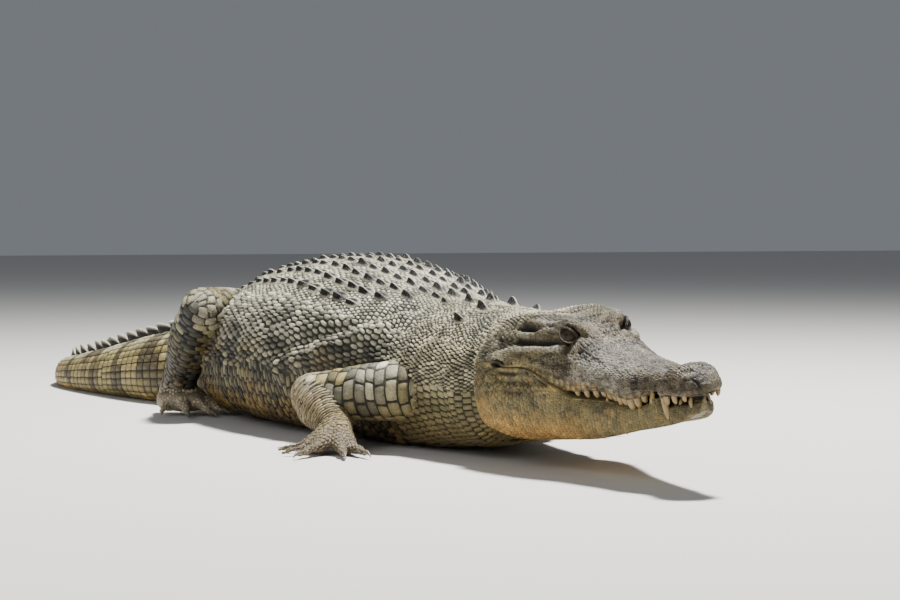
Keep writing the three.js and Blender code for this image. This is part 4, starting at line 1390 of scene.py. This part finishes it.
tops = []
aft = float(CREST_START)
while aft < CREST_END:
    length = float(crest_pitch(aft)) * 0.94
    merged = (aft - CREST_START) / (CREST_MERGE - CREST_START)
    apart = max(0.0, float(body_width(aft)) * 0.5 * (1 - merged))
    for out in (0,) if apart < 8 else (-apart, apart):
        tops.append((aft, out, length, float(crest_height(aft))))
    aft += float(crest_pitch(aft))
blades = []
blade_tints = []
dice = np.random.default_rng(81)
for aft, out, length, height in tops:
    blades.append(tube(blade(aft, out, length, height * dice.uniform(0.9, 1.08))))
    level = np.concatenate([BLADE_LEVELS, BLADE_LEVELS[-2::-1]])
    shade = np.interp(level, BLADE_LEVELS, (0.4, 0.3, 0.4, 1, 1.5))
    tint = blend(UMBER * 0.6, SILVER, smooth(level, 0.6, 0.95)) * shade[:, None] * dice.uniform(0.8, 1.15)
    blade_tints.append(with_ends(np.tile(tint, (len(BLADE_STEPS), 1, 1))))
crest = face_out(make_object("tail_crest", *gathered(blades)))
tint_object(crest, np.vstack(blade_tints))
crest.data.materials.append(coat_hide)
shade_smooth(crest)
unwrap = crest.data.uv_layers.new(name="OFBake")
corner = np.zeros(len(crest.data.loops), np.int32)
crest.data.loops.foreach_get("vertex_index", corner)
which = np.repeat(np.arange(len(tops)), [len(points) for points, faces in blades])
within = np.concatenate([np.arange(len(points)) / len(points) for points, faces in blades])
roots = np.array([((aft - 2100) / 1900, 0.5 + out / 400) for aft, out, length, height in tops])
spread = np.stack([within, within % 0.3], -1) * 0.003
unwrap.data.foreach_set("uv", (roots[which] + spread)[corner].ravel())
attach(crest, "root")

# Head: pebbles run from the nape over the temples, small flat scales cover the jaw and cheek, and the skull's
# skin breaks into low knobs.
head_hide = hide_finish("head scale hide", 260, 230, 0.42, 0.45)
# No scale grows nearer the middle of an eye than this.
EYE_ROOM = 42


def head_skin(aft, share, rise=0):
    """A point of the head's skin in the resting pose, or rise millimetres above it."""
    return bend(*np.moveaxis(round_eye(head_spot(aft, share, rise)), -1, 0))


def head_scales(cells, shape, height, span, ridge=0.0, inset=0.93, seed=1, vary=0.2):
    """Scales on the head, clear of the eyes, with their places on the unwrapped head."""
    middle = cells.mean(1)
    spots = head_spot(middle[:, 0], middle[:, 1])
    clear = np.ones(len(cells), bool)
    for side in (-1, 1):
        clear &= np.linalg.norm(spots - eye_frame(side)[0], axis=-1) > EYE_ROOM
    plain = np.stack(head_ring(middle[:, 0], middle[:, 1]), -1)
    clear &= head_shade(*plain.T) < 0.35
    clear[clear] = showing(head_skin(*middle[clear].T), 0.003)
    cells = cells[clear]
    middle = middle[clear]
    plain = plain[clear]
    points, quads, shades = scales_over(head_skin, cells, shape, height, inset, ridge, seed)
    tints = head_markings(points.mean(1), *plain.T, middle[:, 1])
    tints = tints * np.random.default_rng(seed).uniform(1 - vary, 1 + vary, (len(cells), 1))
    return points, quads, shades, tints, unwrapped(middle, span, shape)


for side, name in ((1, "right"), (-1, "left")):
    span = ((0, 650), mirrored((0, 1), side))
    temple = lattice((478, 640), mirrored((0.02, 0.5), side), 17, 26, 0.5, 0.36, 81)
    cheek = lattice((330, 478), mirrored((0.2, 0.44), side), 18, 14, 0.5, 0.4, 82)
    jaw = lattice((14, 606), mirrored((0.63, 0.95), side), 68, 18, 0.5, 0.25, 83)
    snout = lattice((20, 330), mirrored((0.02, 0.46), side), 30, 15, 0.5, 0.42, 84)
    table = lattice((330, 478), mirrored((0.01, 0.17), side), 15, 8, 0.5, 0.4, 85)
    coat_piece("head_scales_" + name, [
        head_scales(temple, COBBLE, 2.6, span, 1.6, seed=81, vary=0.3),
        head_scales(cheek, COBBLE, 1.2, span, seed=82, vary=0.22),
        head_scales(jaw, PLATE, 0.9, span, seed=83, vary=0.16),
        head_scales(snout, COBBLE, 1, span, seed=84, vary=0.2),
        head_scales(table, COBBLE, 1.2, span, seed=85, vary=0.22),
    ], head_hide)

# Legs: broad horn plates in bands round the upper limbs, finer rings below, and grains on the paws, all laid
# on the fused skin.
limb_hide = hide_finish("limb hide", 220, 190, 0.32, 0.45)
# How squarely a scale past the elbow or the knee faces away from the lower limb.
CAP_FACING = 0.74
# Corner and size of the upper and the lower bar's patch of the unwrapped legs, and how far the lower bar's
# scales run past its ends.
UPPER_PATCH = (0.01, 0.01, 0.3, 0.45)
LOWER_PATCH = (0.35, 0.01, 0.3, 0.45)
LOWER_REACH = (-0.8, 0.96)
LAID_REACH = 0.014


def limb_spot(bar):
    """Points over a limb bar, laid on the fused skin where that is within LAID_REACH metres."""

    def spot(s, share, rise=0):
        base = bar_spot(bar, s, share, -LIMB_SKIN)
        out = bar_spot(bar, s, share, 1 - LIMB_SKIN) - base
        out /= np.linalg.norm(out, axis=-1, keepdims=True) + 1e-12
        flat = base.reshape(-1, 3)
        laid = np.array([skin_tree.find_nearest(p)[0] for p in flat]).reshape(base.shape)
        off = np.linalg.norm(laid - base, axis=-1, keepdims=True)
        base = np.where(off < LAID_REACH, laid, base)
        return base + out * (np.asarray(rise) / MM)[..., None]

    return spot


def limb_scales(bar, rows, columns, shape, height, block, ridge=0.0, stagger=0.5, wobble=0.15, seed=1,
                vary=0.2, slate=0.0, reach=(-0.97, 0.96), cap=None):
    """Scales in bands round one limb bar; block is the corner and size of its patch of the unwrapped legs.

    Past its lower joint a bar carries scales only on the round end of the next bar, which cap gives.
    """
    length = np.linalg.norm(bar[1] - bar[0]) * MM
    span = (reach[0] * bar[2][0][2], length + reach[1] * bar[2][-1][2])
    cells = lattice(span, (-1, 1), rows, columns, stagger, wobble, seed)
    middle = cells.mean(1)
    places = bar_spot(bar, middle[:, 0], middle[:, 1], -LIMB_SKIN + 1)
    keep = showing(places, 0.005)
    if cap is not None:
        arm = places - cap[0]
        away = cap[0] - cap[1]
        facing = arm @ away / np.linalg.norm(arm, axis=-1) / np.linalg.norm(away)
        keep &= (middle[:, 0] < length) | (facing > CAP_FACING)
    cells = cells[keep]
    middle = middle[keep]
    inset = 0.96 if shape is PEBBLE else 0.94
    points, quads, shades = scales_over(limb_spot(bar), cells, shape, height, inset, ridge, seed)
    dice = np.random.default_rng(seed)
    tints = limb_markings(points.mean(1)) * dice.uniform(1 - vary, 1 + vary, (len(cells), 1))
    dull = (dice.random(len(cells)) < slate) * dice.uniform(0.4, 0.9, len(cells))
    tints = blend(tints, SLATE * (2, 2.1, 2.4), dull)
    share = np.stack([(middle[:, 0] - span[0]) / (span[1] - span[0]), (middle[:, 1] + 1) / 2], -1)
    roots = np.array(block[:2]) + np.clip(share, 0, 1) * np.array(block[2:])
    return points, quads[:, ::-1], shades, tints, roots[:, None] + patch_of(shape)


for k, (name, (top, low)) in enumerate(limb_bars.items()):
    if "arm" in name:
        parts = [
            limb_scales(top, 14, 10, SLAB, 2.6, UPPER_PATCH, 1, 0.2, 0.4, 101 + k, 0.34, 0.42, cap=low),
            limb_scales(low, 32, 5, RING, 3, LOWER_PATCH, 0, 0.5, 0.2, 111 + k, 0.25, 0, LOWER_REACH),
        ]
    else:
        parts = [
            limb_scales(top, 19, 12, SLAB, 3, UPPER_PATCH, 0, 0.4, 0.3, 121 + k, 0.3, cap=low),
            limb_scales(low, 26, 9, SLAB, 3, LOWER_PATCH, 0, 0.3, 0.24, 131 + k, 0.3, 0.2, LOWER_REACH),
        ]
    for j, bar in enumerate(paw_bars[name]):
        length = np.linalg.norm(bar[1] - bar[0]) * MM
        girth = 2 * np.pi * (bar[2][0][1] + bar[2][1][1]) / 2
        block = (0.02 + (j % 7) * 0.135, 0.5 + (j // 7) * 0.1, 0.12, 0.09)
        rows = max(2, int(length / 9))
        around = max(6, int(girth / 11))
        parts.append(limb_scales(bar, rows, around, PEBBLE, 2, block, seed=141 + j, reach=(0, 0.2)))
    coat_piece(name + "_scales", parts, limb_hide)

# ---- Claws -----------------------------------------------------------------------------------------------
# Three curved cones of dark horn on each paw, growing from under the skin of the toes.
claw_horn = Finish("claw horn")
place = claw_horn.out("ShaderNodeTexCoord", {}, {}, "Object")
streak = claw_horn.out("ShaderNodeTexNoise", {}, {"Vector": place, "Scale": 260.0, "Detail": 3.0})
claw_horn.set(claw_horn.shader, {
    "Base Color": claw_horn.mix(streak, (0.05, 0.042, 0.032, 1), (0.2, 0.17, 0.12, 1)),
    "Roughness": streak * 0.3 + 0.25,
})
CLAW_LONG = 0.03
CLAW_CLEAR = 0.0005
horns = []
for knuckle, end, toe in claw_places:
    forward = (end - knuckle) * (1, 1, 0)
    forward /= np.linalg.norm(forward)
    sideways = np.cross((0, 0, 1), forward)
    t = np.linspace(0, 1, 9)[:, None, None]
    angle = np.linspace(0, 2 * np.pi, 12, endpoint=False)[None, :, None]
    middle = end + forward * (t * CLAW_LONG - 0.006)
    middle = middle + np.array([0, 0, 1]) * (0.003 + 0.004 * np.sin(t * 2.4) - t * t * toe * 0.7)
    radius = toe * 0.42 * (1 - t**1.5 * 0.9)
    rings = middle + sideways * radius * 0.8 * np.sin(angle) + np.array([0, 0, 1]) * radius * np.cos(angle)
    rings[..., 2] = np.maximum(rings[..., 2], CLAW_CLEAR)
    horns.append(tube(rings))
claws = face_out(make_object("claws", *gathered(horns)))
claws.data.materials.append(claw_horn.material)
shade_smooth(claws)
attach(claws, "root")

# ---- Teeth -----------------------------------------------------------------------------------------------
# Cones of worn ivory set in the jaws. The upper row hangs outside the lower lip, its fourth tooth the
# longest, and one tooth of the lower jaw stands in the notch of the upper lip behind it.
ivory = Finish("ivory")
place = ivory.out("ShaderNodeTexCoord", {}, {}, "Object")
stain = ivory.out("ShaderNodeTexNoise", {}, {"Vector": place, "Scale": 90.0, "Detail": 3.0})
ivory.set(ivory.shader, {
    "Base Color": ivory.mix(stain, (0.36, 0.26, 0.1, 1), (0.12, 0.07, 0.025, 1)),
    "Roughness": stain * 0.3 + 0.25,
})
# (aft, length above the gum, width) of each pair of lower teeth.
LOWER_TEETH = [(24, 12, 8), (46, 9, 8), (103, 11, 11), (126, 9, 9), (204, 9, 9), (226, 9, 9), (262, 8, 8)]
# An upper tooth longer than this is whole, and the others are worn down by up to a third.
LONG_TOOTH = 30
# The lower tooth that stands in the notch, and how far out it stands.
NOTCH_TOOTH = 103
NOTCH_OUT = 48


def tooth_rings(aft, out, root, tip, width, lean):
    """Rings of one tooth in the straight layout, a cone curved inward."""
    t = np.array([0, 0.2, 0.4, 0.6, 0.75, 0.87, 0.95, 1])[:, None]
    angle = np.linspace(0, 2 * np.pi, 10, endpoint=False)[None]
    radius = width / 2 * (1 - t**4) ** 0.55 + 0.2
    side = np.sign(out)
    return bend(
        aft + radius * np.cos(angle) + lean * t,
        out + radius * 0.85 * np.sin(angle) - side * 0.12 * abs(tip - root) * t**2,
        root + (tip - root) * t,
    )


cones = []
dice = np.random.default_rng(91)
for side in (-1, 1):
    rows = []
    for aft, length, width in UPPER_TEETH:
        lip = float(lip_up(aft))
        shown = length * (1 if length > LONG_TOOTH else dice.uniform(0.65, 1))
        rows.append((aft, float(lip_out(aft)) - width * 0.5, lip + 6, lip - shown, width * 1.05))
    for aft, length, width in LOWER_TEETH:
        gum = float(lip_up(aft) - mouth_gap(aft))
        out = NOTCH_OUT if aft == NOTCH_TOOTH else float(jaw_lip_out(aft)) - width * 0.5
        rows.append((aft, out, gum - 8, gum + length, width))
    for aft, out, root, tip, width in rows:
        cones.append(tube(tooth_rings(aft, side * out, root, tip, width, dice.uniform(-1.5, 1.5))))
teeth = face_out(make_object("teeth", *gathered(cones)))
teeth.data.materials.append(ivory.material)
shade_smooth(teeth)
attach(teeth, "root")

# ---- Eyes ------------------------------------------------------------------------------------------------
# A wet ball in each socket, held there by the lids: a dark olive-brown iris round an upright slit of a pupil,
# under a clear bulge.
eye_wet = Finish("eye")
iris = eye_wet.out("ShaderNodeAttribute", {"attribute_name": "Tint"}, {}, "Color")
place = eye_wet.out("ShaderNodeTexCoord", {}, {}, "Object")
veins = eye_wet.out("ShaderNodeTexNoise", {}, {"Vector": place, "Scale": 420.0, "Detail": 3.0})
eye_wet.set(eye_wet.shader, {
    "Base Color": eye_wet.mix(veins * 0.6, iris, (0.012, 0.01, 0.006, 1)),
    "Roughness": 0.3,
    "Specular IOR Level": 0.12,
    "Coat Weight": 0.03,
    "Coat Roughness": 0.08,
})
for side, name in ((-1, "right"), (1, "left")):
    centre, look, back, high = eye_frame(side)
    t = np.concatenate([np.linspace(0.02, 1.2, 30), np.linspace(1.26, np.pi - 0.02, 16)])[:, None, None]
    angle = np.linspace(0, 2 * np.pi, 48, endpoint=False)[None, :, None]
    unit = look * np.cos(t) + (back * np.cos(angle) + high * np.sin(angle)) * np.sin(t)
    bulge = 1 + 0.04 * np.exp(-((t / 0.5) ** 2))
    rings = bend(*np.moveaxis(centre + unit * EYE["radius"] * bulge, -1, 0))
    across_eye = np.broadcast_to(np.sin(t) * np.cos(angle), rings.shape[:2] + (1,))[..., 0]
    up_eye = np.broadcast_to(np.sin(t) * np.sin(angle), rings.shape[:2] + (1,))[..., 0]
    reach = np.hypot(across_eye, up_eye)
    slit = smooth(1 - np.hypot(across_eye / 0.1, up_eye / 0.42), -0.12, 0.12)
    tint = blend(colour(50, 40, 20), colour(34, 28, 16), smooth(reach, 0.3, 0.62))
    tint = blend(tint, colour(20, 17, 11), smooth(reach, 0.6, 0.72))
    tint = blend(tint, colour(6, 6, 5), slit)
    ball = face_out(make_object("eyeball_" + name, *tube(rings)))
    tint_object(ball, with_ends(tint))
    ball.data.materials.append(eye_wet.material)
    shade_smooth(ball)
    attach(ball, "root")
    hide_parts("eye_" + name)

# ---- Stage -----------------------------------------------------------------------------------------------
# A wide pale floor under a high lamp, with a large soft one in front and a faint even light from all round.
REACH = 30
corners = [(-REACH, -REACH, 0), (REACH, -REACH, 0), (REACH, REACH, 0), (-REACH, REACH, 0)]
floor = make_object("floor", corners, [(0, 1, 2, 3)])
paint = bpy.data.materials.new("floor")
paint.use_nodes = True
paint.node_tree.nodes["Principled BSDF"].inputs["Base Color"].default_value = (0.62, 0.6, 0.57, 1)
paint.node_tree.nodes["Principled BSDF"].inputs["Roughness"].default_value = 0.9
floor.data.materials.append(paint)
floor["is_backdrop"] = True
for name, place, size, power in (("sun", (0.3, 1.2, 5.5), 0.7, 1250), ("window", (4, -5, 3), 4, 150)):
    lamp = bpy.data.objects.new(name, bpy.data.lights.new(name, "AREA"))
    lamp.data.size = size
    lamp.data.energy = power
    lamp.location = place
    lamp.rotation_euler = (Vector((0.8, 0, 0.2)) - Vector(place)).to_track_quat("-Z", "Y").to_euler()
    bpy.context.scene.collection.objects.link(lamp)
world = bpy.data.worlds.new("sky")
world.use_nodes = True
world.node_tree.nodes["Background"].inputs["Color"].default_value = (0.8, 0.86, 0.95, 1)
world.node_tree.nodes["Background"].inputs["Strength"].default_value = 0.22
bpy.context.scene.world = world

visual_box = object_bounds()
plain = [[[float(x) for x in corner] for corner in box] for box in (cad_box, visual_box)]
